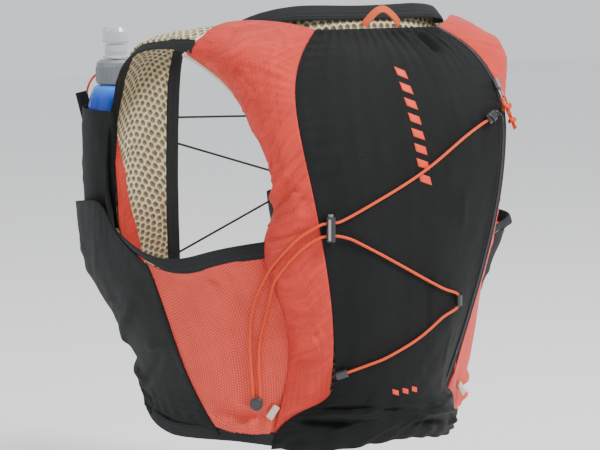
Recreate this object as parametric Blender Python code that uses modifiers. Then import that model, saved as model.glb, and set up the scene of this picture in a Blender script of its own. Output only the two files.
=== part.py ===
"""Running vest with a zipped back pocket, two soft flasks, a bungee and chest cords.

Frame: metres, +Z up, the wearer faces -Y and the wearer's left is +X. The origin is midway
between the undersides of the two shoulder straps. Heights below are measured from the back
hem, and the whole vest hangs from an empty that lowers them by SHOULDER.
The cloth panels are coarse cages between seam lines, smoothed and given a thickness. Seams
are given for the left side. The right side is their mirror image, but it hangs more open: its
front stands further out, and it draws in a little at the side seam.
"""
import math

import bmesh
import bpy
from mathutils import Matrix, Vector

SHOULDER = 0.335            # height of the shoulder rest above the back hem
CLOTH = 0.0012              # thickness of the woven panels
MESH_PAD = 0.0026           # thickness of the spacer mesh
BAND = 0.0022               # thickness of a folded edge binding
SEAM_GAP = 0.0009           # how far a panel stops short of its seam line
# How far the right side stands out in front, and draws in at the side seam, by height.
FLARE = ((0.0, 0.026), (0.025, 0.034), (0.055, 0.032), (0.085, 0.033), (0.110, 0.042),
         (0.150, 0.068), (0.200, 0.034), (0.260, 0.0))
TUCK = ((0.0, 0.026), (0.030, 0.031), (0.055, 0.018), (0.085, 0.010), (0.130, 0.0))
CORD = 0.0024               # diameter of the bungee
THIN_CORD = 0.0020          # diameter of the chest cords, retainers and pull cord

# Seam lines of the left side, bottom to top: (across, back, height).
YOKE_SEAM = [
    (0.057, 0.138, 0.040), (0.066, 0.149, 0.080), (0.075, 0.158, 0.125),
    (0.085, 0.162, 0.165), (0.094, 0.163, 0.205), (0.101, 0.159, 0.240),
    (0.106, 0.153, 0.275), (0.101, 0.141, 0.303), (0.086, 0.130, 0.327),
    (0.062, 0.114, 0.343),
]
YOKE_EDGE = [
    (0.0927, 0.1023, 0.0176), (0.0836, 0.1142, 0.0712), (0.0932, 0.1138, 0.1198),
    (0.1167, 0.1053, 0.1646), (0.0949, 0.1147, 0.2009), (0.0997, 0.1092, 0.2425),
    (0.1146, 0.0966, 0.2717), (0.1272, 0.0825, 0.3011), (0.1508, 0.0562, 0.3243),
]
YOKE_BULGE = [0.0, 0.009, 0.013, 0.016, 0.018, 0.019, 0.020]
YOKE_HEEL = (0.0635, 0.1385, 0.048)
YOKE_FOOT = [(0.066, 0.130, 0.036), (0.074, 0.122, 0.031), (0.083, 0.112, 0.026)]
YOKE_BLADE = [(0.122, 0.134, 0.312), (0.139, 0.120, 0.314), (0.143, 0.101, 0.309)]
YOKE_RIDGE = [(0.104, 0.123, 0.338), (0.125, 0.109, 0.338), (0.143, 0.086, 0.331)]
YOKE_TOP = [(0.084, 0.101, 0.350), (0.109, 0.066, 0.351), (0.132, 0.063, 0.346),
            (0.151, 0.056, 0.324)]
SHELL_CROWN = [0.163, 0.173, 0.179, 0.181, 0.181, 0.178, 0.171, 0.160, 0.145, 0.120]
SHELL_FOOT = [
    [(0.094, 0.097, -0.003), (0.068, 0.130, -0.003), (0.035, 0.149, 0.001), (0.0, 0.153, 0.006)],
    [(0.091, 0.102, 0.015), (0.066, 0.134, 0.018), (0.035, 0.155, 0.021), (0.0, 0.160, 0.024)],
    [(0.074, 0.122, 0.031), (0.054, 0.143, 0.032), (0.028, 0.157, 0.033), (0.0, 0.163, 0.034)],
]
ZIP_WIDTH = 0.007

LINING_EDGE = [
    (0.0935, 0.0904, 0.0017), (0.0802, 0.1068, 0.0559), (0.0818, 0.1101, 0.0890),
    (0.0903, 0.1098, 0.1198), (0.1134, 0.1005, 0.1615), (0.0921, 0.1106, 0.2011),
    (0.0979, 0.1050, 0.2422), (0.1114, 0.0918, 0.2718), (0.1242, 0.0775, 0.3012),
    (0.1438, 0.0502, 0.3222),
]
LINING_CROWN = [0.110, 0.117, 0.119, 0.120, 0.120, 0.119, 0.115, 0.110, 0.104, 0.098]
LINING_TOP = [(0.100, 0.046, 0.339), (0.090, 0.078, 0.345), (0.045, 0.093, 0.349),
              (0.0, 0.094, 0.349)]

SIDE_TOP = [
    (0.1688, 0.0192, 0.1474), (0.1663, 0.0448, 0.1419), (0.1563, 0.0684, 0.1424),
    (0.1413, 0.0888, 0.1518), (0.1128, 0.1075, 0.1584),
]
SIDE_FRONT = [
    (0.1678, 0.0282, 0.1346), (0.1642, 0.0349, 0.1149), (0.1570, 0.0410, 0.0850),
    (0.1480, 0.0460, 0.0550), (0.1380, 0.0520, 0.0300), (0.1290, 0.0590, 0.0110),
]
SIDE_BACK = [
    (0.1064, 0.1091, 0.1416), (0.0932, 0.1138, 0.1178), (0.0848, 0.1141, 0.0871),
    (0.0829, 0.1110, 0.0561), (0.0906, 0.1013, 0.0277), (0.0956, 0.0953, 0.0067),
]
SIDE_BULGE = [0.010, 0.012, 0.014, 0.013, 0.010, 0.006]

# Front panel with its strap, shoulder to hem: centre-front edge, two inner points, outer edge.
FRONT = [
    [(0.1000, 0.0350, 0.3420), (0.1130, 0.0440, 0.3450), (0.1306, 0.0542, 0.3435),
     (0.1461, 0.0496, 0.3352)],
    [(0.0990, 0.0120, 0.3390), (0.1120, 0.0180, 0.3420), (0.1300, 0.0240, 0.3406),
     (0.1461, 0.0259, 0.3346)],
    [(0.0970, -0.0140, 0.3370), (0.1110, -0.0100, 0.3400), (0.1278, -0.0089, 0.3378),
     (0.1425, -0.0097, 0.3310)],
    [(0.0920, -0.0460, 0.3330), (0.1060, -0.0430, 0.3360), (0.1237, -0.0404, 0.3342),
     (0.1406, -0.0411, 0.3281)],
    [(0.0830, -0.0810, 0.3230), (0.0990, -0.0780, 0.3260), (0.1170, -0.0736, 0.3216),
     (0.1347, -0.0718, 0.3137)],
    [(0.0740, -0.1060, 0.3030), (0.0900, -0.1090, 0.3030), (0.1091, -0.1047, 0.2982),
     (0.1264, -0.0965, 0.2883)],
    [(0.0710, -0.1150, 0.2780), (0.0900, -0.1190, 0.2760), (0.1111, -0.1131, 0.2699),
     (0.1305, -0.1007, 0.2637)],
    [(0.0705, -0.1180, 0.2450), (0.0930, -0.1230, 0.2430), (0.1155, -0.1160, 0.2407),
     (0.1346, -0.0988, 0.2405)],
    [(0.0705, -0.1190, 0.2150), (0.0930, -0.1250, 0.2150), (0.1147, -0.1185, 0.2129),
     (0.1320, -0.1027, 0.2147)],
    [(0.0705, -0.1190, 0.1850), (0.0930, -0.1250, 0.1850), (0.1141, -0.1198, 0.1851),
     (0.1289, -0.1047, 0.1854)],
    [(0.0705, -0.1180, 0.1600), (0.0950, -0.1240, 0.1600), (0.1185, -0.1170, 0.1602),
     (0.1354, -0.0950, 0.1625)],
    [(0.0705, -0.1170, 0.1350), (0.0980, -0.1210, 0.1340), (0.1292, -0.1055, 0.1360),
     (0.1535, -0.0478, 0.1523)],
    [(0.0705, -0.1160, 0.1120), (0.0980, -0.1180, 0.1100), (0.1349, -0.0879, 0.1150),
     (0.1604, -0.0097, 0.1464)],
    [(0.0705, -0.1140, 0.0900), (0.0980, -0.1120, 0.0850), (0.1320, -0.0740, 0.0850),
     (0.1615, 0.0243, 0.1251)],
    [(0.0710, -0.1100, 0.0650), (0.0980, -0.1040, 0.0600), (0.1260, -0.0640, 0.0560),
     (0.1520, 0.0370, 0.0830)],
    [(0.0720, -0.1060, 0.0520), (0.0960, -0.0960, 0.0400), (0.1210, -0.0560, 0.0280),
     (0.1350, 0.0460, 0.0360)],
    [(0.0720, -0.1040, 0.0450), (0.0940, -0.0930, 0.0340), (0.1180, -0.0530, 0.0210),
     (0.1240, 0.0530, 0.0130)],
]
# Woven gusset between the spacer mesh and the armhole binding.
GUSSET_EDGE = [
    (0.1344, -0.0987, 0.2385), (0.1382, -0.0979, 0.2158), (0.1391, -0.0978, 0.1903),
    (0.1408, -0.0888, 0.1708), (0.1541, -0.0525, 0.1537),
]
GUSSET_INNER = [
    (0.1329, -0.1001, 0.2385), (0.1320, -0.1027, 0.2147), (0.1289, -0.1047, 0.1873),
    (0.1354, -0.0958, 0.1646), (0.1522, -0.0558, 0.1528),
]

# Armhole binding: its free rim and the line where it holds the cloth.
ARMHOLE_RIM = [
    (0.1495, 0.0509, 0.3247), (0.1502, 0.0279, 0.3267), (0.1464, -0.0076, 0.3243),
    (0.1465, -0.0377, 0.3205), (0.1447, -0.0697, 0.3053), (0.1363, -0.0921, 0.2841),
    (0.1391, -0.0961, 0.2643), (0.1451, -0.0928, 0.2425), (0.1481, -0.0905, 0.2220),
    (0.1489, -0.0893, 0.2000), (0.1506, -0.0828, 0.1814), (0.1562, -0.0669, 0.1705),
    (0.1607, -0.0399, 0.1635), (0.1675, -0.0110, 0.1603), (0.1716, 0.0170, 0.1555),
    (0.1673, 0.0428, 0.1528), (0.1583, 0.0664, 0.1551), (0.1436, 0.0876, 0.1647),
    (0.1109, 0.1099, 0.1708),
]
ARMHOLE_SEAM = [
    (0.1461, 0.0506, 0.3338), (0.1464, 0.0278, 0.3334), (0.1424, -0.0096, 0.3287),
    (0.1402, -0.0408, 0.3270), (0.1332, -0.0708, 0.3128), (0.1262, -0.0964, 0.2884),
    (0.1300, -0.1004, 0.2633), (0.1335, -0.0981, 0.2424), (0.1376, -0.0975, 0.2214),
    (0.1383, -0.0973, 0.2001), (0.1407, -0.0906, 0.1767), (0.1491, -0.0721, 0.1596),
    (0.1583, -0.0416, 0.1559), (0.1645, -0.0091, 0.1529), (0.1687, 0.0188, 0.1507),
    (0.1666, 0.0446, 0.1436), (0.1571, 0.0676, 0.1428), (0.1423, 0.0878, 0.1522),
    (0.1111, 0.1092, 0.1582),
]
NECK_SEAM = [(0.100, 0.040, 0.344), (0.104, 0.058, 0.343), (0.094, 0.082, 0.348),
             (0.068, 0.094, 0.352), (0.035, 0.096, 0.351)]
NECK_BACK_SEAM = (0.0, 0.096, 0.351)
NECK_RIM = [(0.091, 0.042, 0.347), (0.0975, 0.057, 0.350), (0.087, 0.077, 0.358),
            (0.065, 0.089, 0.363), (0.034, 0.091, 0.362)]
NECK_BACK_RIM = (0.0, 0.091, 0.361)
FRONT_BAND_WIDTH = (0.0095, 0.0132)     # at the shoulder and down the front
HEM_SEAM = [
    (0.094, 0.096, 0.006), (0.113, 0.080, 0.009), (0.129, 0.060, 0.009), (0.135, 0.030, 0.006),
    (0.138, 0.000, 0.004), (0.139, -0.026, 0.012), (0.130, -0.056, 0.020),
    (0.112, -0.082, 0.028), (0.092, -0.098, 0.035), (0.077, -0.106, 0.042),
]
HEM_DROP = 0.010

# Lower stretch pocket, rim to hem: side seam, six points round the front, centre front.
LOWER_POCKET = [
    [(0.1697, 0.0182, 0.1466), (0.1665, -0.0108, 0.1492), (0.1610, -0.0500, 0.1470),
     (0.1555, -0.0780, 0.1620), (0.1535, -0.1060, 0.1820), (0.1330, -0.1880, 0.1770),
     (0.1010, -0.2050, 0.1750), (0.0645, -0.1745, 0.1745), (0.0725, -0.1285, 0.1745)],
    [(0.1686, 0.0262, 0.1358), (0.1671, -0.0124, 0.1370), (0.1620, -0.0580, 0.1350),
     (0.1567, -0.0853, 0.1386), (0.1514, -0.1126, 0.1421), (0.1310, -0.1840, 0.1460),
     (0.1010, -0.2020, 0.1470), (0.0660, -0.1710, 0.1490), (0.0730, -0.1260, 0.1500)],
    [(0.1652, 0.0339, 0.1150), (0.1675, -0.0097, 0.1069), (0.1600, -0.0620, 0.1040),
     (0.1535, -0.0905, 0.1080), (0.1470, -0.1190, 0.1120), (0.1290, -0.1720, 0.1150),
     (0.1010, -0.1900, 0.1170), (0.0700, -0.1600, 0.1210), (0.0730, -0.1250, 0.1220)],
    [(0.1580, 0.0410, 0.0850), (0.1600, -0.0050, 0.0800), (0.1500, -0.0580, 0.0780),
     (0.1420, -0.0815, 0.0800), (0.1340, -0.1050, 0.0820), (0.1120, -0.1380, 0.0850),
     (0.0950, -0.1460, 0.0880), (0.0780, -0.1370, 0.0940), (0.0730, -0.1230, 0.0980)],
    [(0.1490, 0.0460, 0.0550), (0.1490, 0.0000, 0.0520), (0.1390, -0.0450, 0.0500),
     (0.1320, -0.0620, 0.0525), (0.1250, -0.0790, 0.0550), (0.1080, -0.1040, 0.0600),
     (0.0940, -0.1170, 0.0640), (0.0810, -0.1200, 0.0710), (0.0730, -0.1190, 0.0760)],
    [(0.1390, 0.0520, 0.0300), (0.1420, 0.0050, 0.0250), (0.1400, -0.0350, 0.0280),
     (0.1355, -0.0510, 0.0310), (0.1310, -0.0670, 0.0340), (0.1130, -0.0930, 0.0410),
     (0.0970, -0.1060, 0.0470), (0.0830, -0.1135, 0.0530), (0.0730, -0.1150, 0.0580)],
    [(0.1300, 0.0590, 0.0110), (0.1370, 0.0100, 0.0070), (0.1400, -0.0300, 0.0160),
     (0.1355, -0.0460, 0.0205), (0.1310, -0.0620, 0.0250), (0.1130, -0.0870, 0.0320),
     (0.0960, -0.1010, 0.0380), (0.0830, -0.1080, 0.0440), (0.0730, -0.1110, 0.0480)],
]
# Flask pocket, bottom to rim, each row round the flask from the armhole to the centre front.
POCKET_ROUND = [(0.1430, -0.1035), (0.1455, -0.134), (0.1275, -0.175), (0.099, -0.190),
                (0.068, -0.168), (0.0735, -0.1245)]
POCKET_ROWS = [(0.108, 0.42), (0.118, 0.72), (0.134, 0.86), (0.156, 0.92), (0.190, 0.97),
               (0.225, 1.0), (0.250, 1.0), (0.266, 0.985)]
POCKET_HEART = (0.106, -0.138)

FLASK_AXIS = (0.1035, -0.1500)
FLASK_TURN = math.radians(14.5)
FLASK_WIDE, FLASK_DEEP = 0.029, 0.0255
# Turned profiles as (radius, height), top to bottom; the flask's is scaled to an oval.
FLASK_PROFILE = [(0.0, 0.2855), (0.60, 0.2855), (0.76, 0.2835), (0.85, 0.2755), (0.95, 0.262),
                 (1.0, 0.240), (0.98, 0.185), (0.91, 0.156), (0.82, 0.136), (0.72, 0.126),
                 (0.56, 0.1215), (0.0, 0.121)]
CAP_PROFILE = [(0.0, 0.3085), (0.0140, 0.3080), (0.0172, 0.3055), (0.0180, 0.3020),
               (0.0180, 0.2870), (0.0170, 0.2860), (0.0, 0.2860)]
SPOUT_PROFILE = [(0.0, 0.3340), (0.0028, 0.3340), (0.0030, 0.3220), (0.0102, 0.3215),
                 (0.0100, 0.3115), (0.0115, 0.3100), (0.0112, 0.3089), (0.0, 0.3089)]
VALVE_PROFILE = [(0.0035, 0.3350), (0.0060, 0.3375), (0.0100, 0.3368), (0.0116, 0.3330),
                 (0.0116, 0.3240), (0.0112, 0.3224), (0.0035, 0.3224), (0.0035, 0.3350)]

# Elastic retainer over the flask's neck, from the tab on the pocket's rim to its inner side.
RETAINER = [(0.1135, -0.1867, 0.2582), (0.1142, -0.1868, 0.2690), (0.1150, -0.1835, 0.2790),
            (0.1145, -0.1780, 0.2870), (0.1110, -0.1740, 0.2930), (0.1020, -0.1745, 0.2950),
            (0.0910, -0.1700, 0.2930), (0.0820, -0.1650, 0.2840), (0.0765, -0.1645, 0.2755),
            (0.0735, -0.1665, 0.2695)]
POCKET_TAB_AT = (0.1135, -0.1867, 0.2520)
POCKET_TAB = (0.0100, 0.0024, 0.0090)

# Zip hardware: slider, wire link and pull cord, which hang straight down the zip line.
SLIDER_AT = (-0.1000, 0.1478, 0.2955)
SLIDER_SIZE = (0.0056, 0.0034, 0.0085)
LUG = (0.0018, 0.0024, 0.0030)
LINK_WIDE, LINK_LONG, LINK_WIRE = 0.0044, 0.0080, 0.0006
PULL_LENGTH = 0.034

# Where the bungee touches the cloth, in order along it: (across, back, height).
BUNGEE_UPPER = [(-0.070, 0.164, 0.264), (-0.043, 0.172, 0.252), (0.002, 0.179, 0.227),
                (0.041, 0.177, 0.208), (0.066, 0.171, 0.195)]
BUNGEE_TAIL = [(0.0960, 0.159, 0.1850), (0.1030, 0.152, 0.1790), (0.1085, 0.144, 0.1680),
               (0.1125, 0.126, 0.1510), (0.1120, 0.109, 0.1360), (0.1150, 0.101, 0.1150),
               (0.1160, 0.099, 0.0850), (0.1110, 0.096, 0.0500)]
BUNGEE_RETURN = [(0.1060, 0.099, 0.0500), (0.1085, 0.102, 0.0850), (0.1040, 0.107, 0.1120),
                 (0.1010, 0.113, 0.1340), (0.1060, 0.140, 0.1550), (0.1030, 0.151, 0.1670),
                 (0.0970, 0.158, 0.1740)]
BUNGEE_LOWER = [(0.066, 0.172, 0.177), (0.040, 0.177, 0.163), (0.002, 0.180, 0.142),
                (-0.024, 0.177, 0.129)]
BUNGEE_FOOT = [(-0.024, 0.174, 0.106), (-0.002, 0.174, 0.091), (0.030, 0.166, 0.074)]
LOCK_AT = (0.0825, 0.1655, 0.1855)
LOCK_SIZE = (0.0072, 0.0062, 0.0208)
CORD_SPREAD = 0.0052        # each cord's distance above or below the middle of the lock
LOCK_RISE = 0.0044          # how far the cords stand off the cloth inside the lock
BUTTON_BORE = (0.0026, 0.0056)      # radius and twice the depth of the bore under the button
HOOK_SIZE = (0.0125, 0.0052, 0.0085)
ANCHOR_SIZE = (0.0100, 0.0050, 0.0076)
STOP_DEPTH = 0.0052         # depth of the blind hole that holds the bungee's end
HOLE_PLAY = 0.0003          # gap around a cord in its hole
LOOP_AT = (-0.0400, 0.1710, 0.1185)
ANCHOR_AT = (0.0540, 0.1500, 0.0640)
CORD_END_SIZE = (0.0112, 0.0046, 0.0112)
BUNGEE_STEP = 0.0075        # distance between the points along the bungee
CORD_LIFT = 0.0022          # height of the bungee's middle above the cloth it lies on
TAIL_LIFT = 0.0030          # the same for its loose tail, which crosses the yoke's edge

HANG_LOOP = [(0.0200, 0.1225, 0.3460), (0.0175, 0.1245, 0.3500), (0.0120, 0.1270, 0.3570),
             (0.0050, 0.1285, 0.3610), (-0.0040, 0.1270, 0.3560), (-0.0125, 0.1245, 0.3495),
             (-0.0155, 0.1225, 0.3460)]
HANG_LOOP_WIDTH = 0.0062
SIDE_TAB_AT = (0.0960, 0.1010, 0.0270)
# Chest cords, from their stop on the left front edge to their stop on the right one.
CHEST_CORDS = {
    "upper": ((0.0650, -0.1230, 0.2555), (-0.0650, -0.1230, 0.2520)),
    "middle": ((0.0650, -0.1240, 0.2345), (-0.0650, -0.1240, 0.1950)),
    "lower": ((0.0650, -0.1225, 0.1280), (-0.0650, -0.1235, 0.1820)),
}
CHEST_STOP = (0.0046, 0.0038, 0.0080)
CHEST_STOP_DEPTH = 0.0050

SIDES = (("left", 1), ("right", -1))


def clear_scene():
    for obj in list(bpy.data.objects):
        bpy.data.objects.remove(obj, do_unlink=True)


def make_material(name, colour, roughness, metallic=0.0):
    look = bpy.data.materials.new(name)
    look.use_nodes = True
    shader = look.node_tree.nodes["Principled BSDF"]
    shader.inputs["Base Color"].default_value = (*colour, 1.0)
    shader.inputs["Roughness"].default_value = roughness
    shader.inputs["Metallic"].default_value = metallic
    return look


def place(obj, name, look):
    """Name an object, give it its material and hang it from the vest's empty."""
    obj.name = name
    obj.data.materials.clear()
    obj.data.materials.append(look)
    for collection in list(obj.users_collection):
        collection.objects.unlink(obj)
    VEST.objects.link(obj)
    if obj.parent is None:
        obj.parent = HANGER
    return obj


def smooth(obj, angle=40.0):
    obj.data.shade_smooth()
    obj.data.set_sharp_from_angle(angle=math.radians(angle))


def between(table, z):
    """The value at height z in a table of (height, value) steps."""
    for (low, a), (high, b) in zip(table, table[1:]):
        if z < high:
            return a + (b - a) * max(z - low, 0.0) / (high - low)
    return table[-1][1]


def splay(x, y, z):
    """How far the right side stands out beyond the left: its front flares, its side tucks in."""
    sideways = min(max((x - 0.115) / 0.040, 0.0), 1.0)
    front = min(max((0.030 - y) / 0.035, 0.0), 1.0) * min(max((y + 0.110) / 0.060, 0.0), 1.0)
    side = min(max((y - 0.010) / 0.030, 0.0), 1.0)
    return sideways * (front * between(FLARE, z) - side * between(TUCK, z))


def flip(points, sign):
    """The points of one side, or their mirror image with the right side's splay."""
    if sign > 0:
        return [tuple(point) for point in points]
    return [(-x - splay(x, y, z), y, z) for x, y, z in points]


def draw_in(rows, gap):
    """Shrink a cage by gap along each of its four borders."""
    for row in rows:
        for end, inner in ((0, 1), (-1, -2)):
            row[end] += (row[inner] - row[end]).normalized() * gap
    for end, inner in ((0, 1), (-1, -2)):
        for k, point in enumerate(rows[end]):
            rows[end][k] = point + (rows[inner][k] - point).normalized() * gap


def sheet(name, rows, look, thick, level=1, gap=SEAM_GAP):
    """A cloth panel: a grid moved onto a cage of rows, smoothed and given a thickness."""
    rows = [[Vector(point) for point in row] for row in rows]
    draw_in(rows, gap)
    across, along = len(rows[0]) - 1, len(rows) - 1
    bpy.ops.mesh.primitive_grid_add(x_subdivisions=across, y_subdivisions=along, size=1)
    obj = place(bpy.context.object, name, look)
    order = sorted(obj.data.vertices, key=lambda v: (round(v.co.y, 4), round(v.co.x, 4)))
    for vertex, point in zip(order, [point for row in rows for point in row], strict=True):
        vertex.co = point
    rounding = obj.modifiers.new("rounding", "SUBSURF")
    rounding.levels = rounding.render_levels = level
    rounding.boundary_smooth = "PRESERVE_CORNERS"
    shell = obj.modifiers.new("thickness", "SOLIDIFY")
    shell.thickness = thick
    shell.offset = 0.0
    obj.data.shade_smooth()
    return obj


def crowned(a, b, columns, bulge):
    """A row of points from a to b that swells by bulge away from the wearer."""
    a, b = Vector(a), Vector(b)
    out = Vector((b.y - a.y, a.x - b.x, 0.0)).normalized()
    if out.dot(Vector((a.x + b.x, a.y + b.y, 0.0))) < 0.0:
        out = -out
    row = []
    for k in range(columns):
        t = k / (columns - 1)
        row.append(a.lerp(b, t) + out * (4.0 * bulge * t * (1.0 - t)))
    return [tuple(point) for point in row]


def whole(half, centre):
    """A row across both sides from its left half, given edge first."""
    return half + [centre] + flip(half, -1)[::-1]


def back_lining(look):
    rows = []
    for edge, crown in zip(LINING_EDGE, LINING_CROWN, strict=True):
        half = []
        for k in (1.0, 0.7, 0.35):
            back = edge[1] + (crown - edge[1]) * (1.0 - k * k)
            half.append((edge[0] * k, back, edge[2]))
        rows.append(whole(half, (0.0, crown, edge[2])))
    rows.append(whole(LINING_TOP[:3], LINING_TOP[3]))
    sheet("back_lining", rows, look, MESH_PAD)


def back_shell(look):
    rows = [whole(row[:3], row[3]) for row in SHELL_FOOT]
    for edge, crown in zip(YOKE_SEAM, SHELL_CROWN, strict=True):
        row = []
        for k in (1.0, 2 / 3, 1 / 3, 0.0, -1 / 3, -2 / 3, -1.0):
            back = edge[1] + (crown - edge[1]) * (1.0 - k * k)
            row.append((edge[0] * k, back, edge[2]))
        row[-1] = (ZIP_WIDTH - edge[0], edge[1] + 0.001, edge[2])
        rows.append(row)
    sheet("back_shell", rows, look, CLOTH)


def yokes(look):
    rows = [[YOKE_HEEL, *YOKE_FOOT, YOKE_EDGE[0]]]
    for seam, edge, bulge in zip(YOKE_SEAM[1:7], YOKE_EDGE[1:7], YOKE_BULGE[1:], strict=True):
        rows.append(crowned(seam, edge, 5, bulge))
    rows.append([YOKE_SEAM[7], *YOKE_BLADE, YOKE_EDGE[7]])
    rows.append([YOKE_SEAM[8], *YOKE_RIDGE, YOKE_EDGE[8]])
    rows.append([YOKE_SEAM[9], *YOKE_TOP])
    for side, sign in SIDES:
        sheet(f"yoke_{side}", [flip(row, sign) for row in rows], look, CLOTH)


def side_panels(look):
    rows = [SIDE_TOP]
    for front, back, bulge in zip(SIDE_FRONT, SIDE_BACK, SIDE_BULGE, strict=True):
        rows.append(crowned(front, back, 5, bulge))
    for side, sign in SIDES:
        sheet(f"side_panel_{side}", [flip(row, sign) for row in rows], look, CLOTH)


def front_panels(mesh_look, woven_look):
    gusset = [list(pair) for pair in zip(GUSSET_INNER, GUSSET_EDGE, strict=True)]
    for side, sign in SIDES:
        sheet(f"front_panel_{side}", [flip(row, sign) for row in FRONT], mesh_look, MESH_PAD)
        sheet(f"front_gusset_{side}", [flip(row, sign) for row in gusset], woven_look, CLOTH)


def pockets(look):
    middle = Vector((*POCKET_HEART, 0.0))
    flask_rows = []
    for height, share in POCKET_ROWS:
        row = []
        for x, y in POCKET_ROUND:
            point = middle + (Vector((x, y, 0.0)) - middle) * share
            row.append((point.x, point.y, height))
        flask_rows.append(row)
    for side, sign in SIDES:
        sheet(f"flask_pocket_{side}", [flip(row, sign) for row in flask_rows], look, CLOTH)
        sheet(f"lower_pocket_{side}", [flip(row, sign) for row in LOWER_POCKET], look, CLOTH)


def binding(name, rim, seam, look, trim=0.003):
    """A folded tape between its free rim and the line where it holds the cloth."""
    rows = [[Vector(a), Vector(b)] for a, b in zip(rim, seam, strict=True)]
    for end, inner in ((0, 1), (-1, -2)):
        step = (rows[inner][0] - rows[end][0]).normalized() * trim
        rows[end] = [point + step for point in rows[end]]
    sheet(name, rows, look, BAND)


def bindings(look):
    neck_rim = whole(NECK_RIM, NECK_BACK_RIM)
    neck_seam = whole(NECK_SEAM, NECK_BACK_SEAM)
    binding("neck_binding", neck_rim, neck_seam, look)
    front_seam = [row[0] for row in FRONT]
    narrow, wide = FRONT_BAND_WIDTH
    front_rim = []
    for k, (x, y, z) in enumerate(front_seam):
        front_rim.append((x - narrow - (wide - narrow) * min(k / 6, 1.0), y, z))
    hem_rim = [(x, y, z - HEM_DROP) for x, y, z in HEM_SEAM]
    for side, sign in SIDES:
        binding(f"front_binding_{side}", flip(front_rim, sign), flip(front_seam, sign), look)
        binding(f"armhole_binding_{side}", flip(ARMHOLE_RIM, sign), flip(ARMHOLE_SEAM, sign), look)
        binding(f"hem_binding_{side}", flip(hem_rim, sign), flip(HEM_SEAM, sign), look)


def loft(name, rings, look, closed=False):
    """A body skinned over rings of points, capped at both ends or closed into a loop."""
    mesh = bpy.data.meshes.new(name)
    shape = bmesh.new()
    made = [[shape.verts.new(point) for point in ring] for ring in rings]
    pairs = list(zip(made, made[1:]))
    if closed:
        pairs.append((made[-1], made[0]))
    for a, b in pairs:
        for k in range(len(a)):
            n = (k + 1) % len(a)
            shape.faces.new((a[k], a[n], b[n], b[k]))
    if not closed:
        shape.faces.new(made[0][::-1])
        shape.faces.new(made[-1])
    bmesh.ops.recalc_face_normals(shape, faces=shape.faces)
    shape.to_mesh(mesh)
    shape.free()
    obj = place(bpy.data.objects.new(name, mesh), name, look)
    smooth(obj)
    return obj


def frame_of(at, along, out):
    """A place and two directions as a matrix: x along, y out of the cloth, z across both."""
    along = Vector(along).normalized()
    out = Vector(out)
    out = (out - along * out.dot(along)).normalized()
    across = along.cross(out)
    matrix = Matrix((along, out, across)).transposed().to_4x4()
    matrix.translation = Vector(at)
    return matrix


def oval(matrix, x, half_y, half_z, count=16, squareness=2.0, y_mid=0.0):
    """A ring across the matrix's x axis, from a circle to a rounded rectangle."""
    ring = []
    for k in range(count):
        angle = 2.0 * math.pi * (k + 0.5) / count
        c, s = math.cos(angle), math.sin(angle)
        y = math.copysign(abs(c) ** (2.0 / squareness), c) * half_y + y_mid
        z = math.copysign(abs(s) ** (2.0 / squareness), s) * half_z
        ring.append(matrix @ Vector((x, y, z)))
    return ring


def cord_stop(name, matrix, size, bore, depth, look):
    """A small moulded block, open at its +x end, where a cord's end is held."""
    long, deep, wide = size
    rings = []
    for x, share in ((-long, 0.72), (-long * 0.86, 1.0), (-0.0006, 1.0), (0.0, 0.9)):
        rings.append(oval(matrix, x, deep * share / 2, wide * share / 2, squareness=3.2))
    rings.append(oval(matrix, 0.0, bore, bore))
    rings.append(oval(matrix, -depth, bore, bore))
    return loft(name, rings, look)


def block(matrix, size, middle=(0.0, 0.0, 0.0), bevel=0.0):
    """A box as a mesh object, used by itself or as a cutter."""
    shape = bmesh.new()
    bmesh.ops.create_cube(shape, size=1.0)
    bmesh.ops.scale(shape, vec=size, verts=shape.verts)
    bmesh.ops.translate(shape, vec=middle, verts=shape.verts)
    if bevel:
        bmesh.ops.bevel(shape, geom=shape.edges[:], offset=bevel, segments=2, affect="EDGES",
                        profile=0.5)
    bmesh.ops.transform(shape, matrix=matrix, verts=shape.verts)
    mesh = bpy.data.meshes.new("block")
    shape.to_mesh(mesh)
    shape.free()
    return bpy.data.objects.new("block", mesh)


def rod(matrix, radius, length, count=20):
    """A cylinder centred on the matrix and lying along its x axis."""
    shape = bmesh.new()
    bmesh.ops.create_cone(shape, cap_ends=True, segments=count, radius1=radius, radius2=radius,
                          depth=length)
    turn = Matrix.Rotation(math.pi / 2, 4, "Y")
    bmesh.ops.transform(shape, matrix=matrix @ turn, verts=shape.verts)
    mesh = bpy.data.meshes.new("rod")
    shape.to_mesh(mesh)
    shape.free()
    return bpy.data.objects.new("rod", mesh)


def cut(name, body, cutters, look):
    """Take the cutters out of a body and keep the result as one mesh."""
    place(body, name, look)
    for cutter in cutters:
        VEST.objects.link(cutter)
        cutter.parent = HANGER
        trim = body.modifiers.new("cut", "BOOLEAN")
        trim.operation = "DIFFERENCE"
        trim.solver = "EXACT"
        trim.object = cutter
    bpy.context.view_layer.update()
    finished = body.evaluated_get(bpy.context.evaluated_depsgraph_get())
    mesh = bpy.data.meshes.new_from_object(finished)
    body.modifiers.clear()
    body.data = mesh
    for cutter in cutters:
        bpy.data.objects.remove(cutter, do_unlink=True)
    place(body, name, look)
    smooth(body, 30.0)
    return body


def through(points, step=0.006):
    """A smooth line through the points, as closely spaced points."""
    points = [Vector(point) for point in points]
    ends = [points[0] * 2 - points[1], *points, points[-1] * 2 - points[-2]]
    line = []
    for a, b, c, d in zip(ends, ends[1:], ends[2:], ends[3:]):
        count = max(2, round((c - b).length / step))
        for k in range(count):
            t = k / count
            line.append(0.5 * (2 * b + (c - a) * t + (2 * a - 5 * b + 4 * c - d) * t * t
                               + (3 * b - a - 3 * c + d) * t ** 3))
    line.append(points[-1])
    return line


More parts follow.
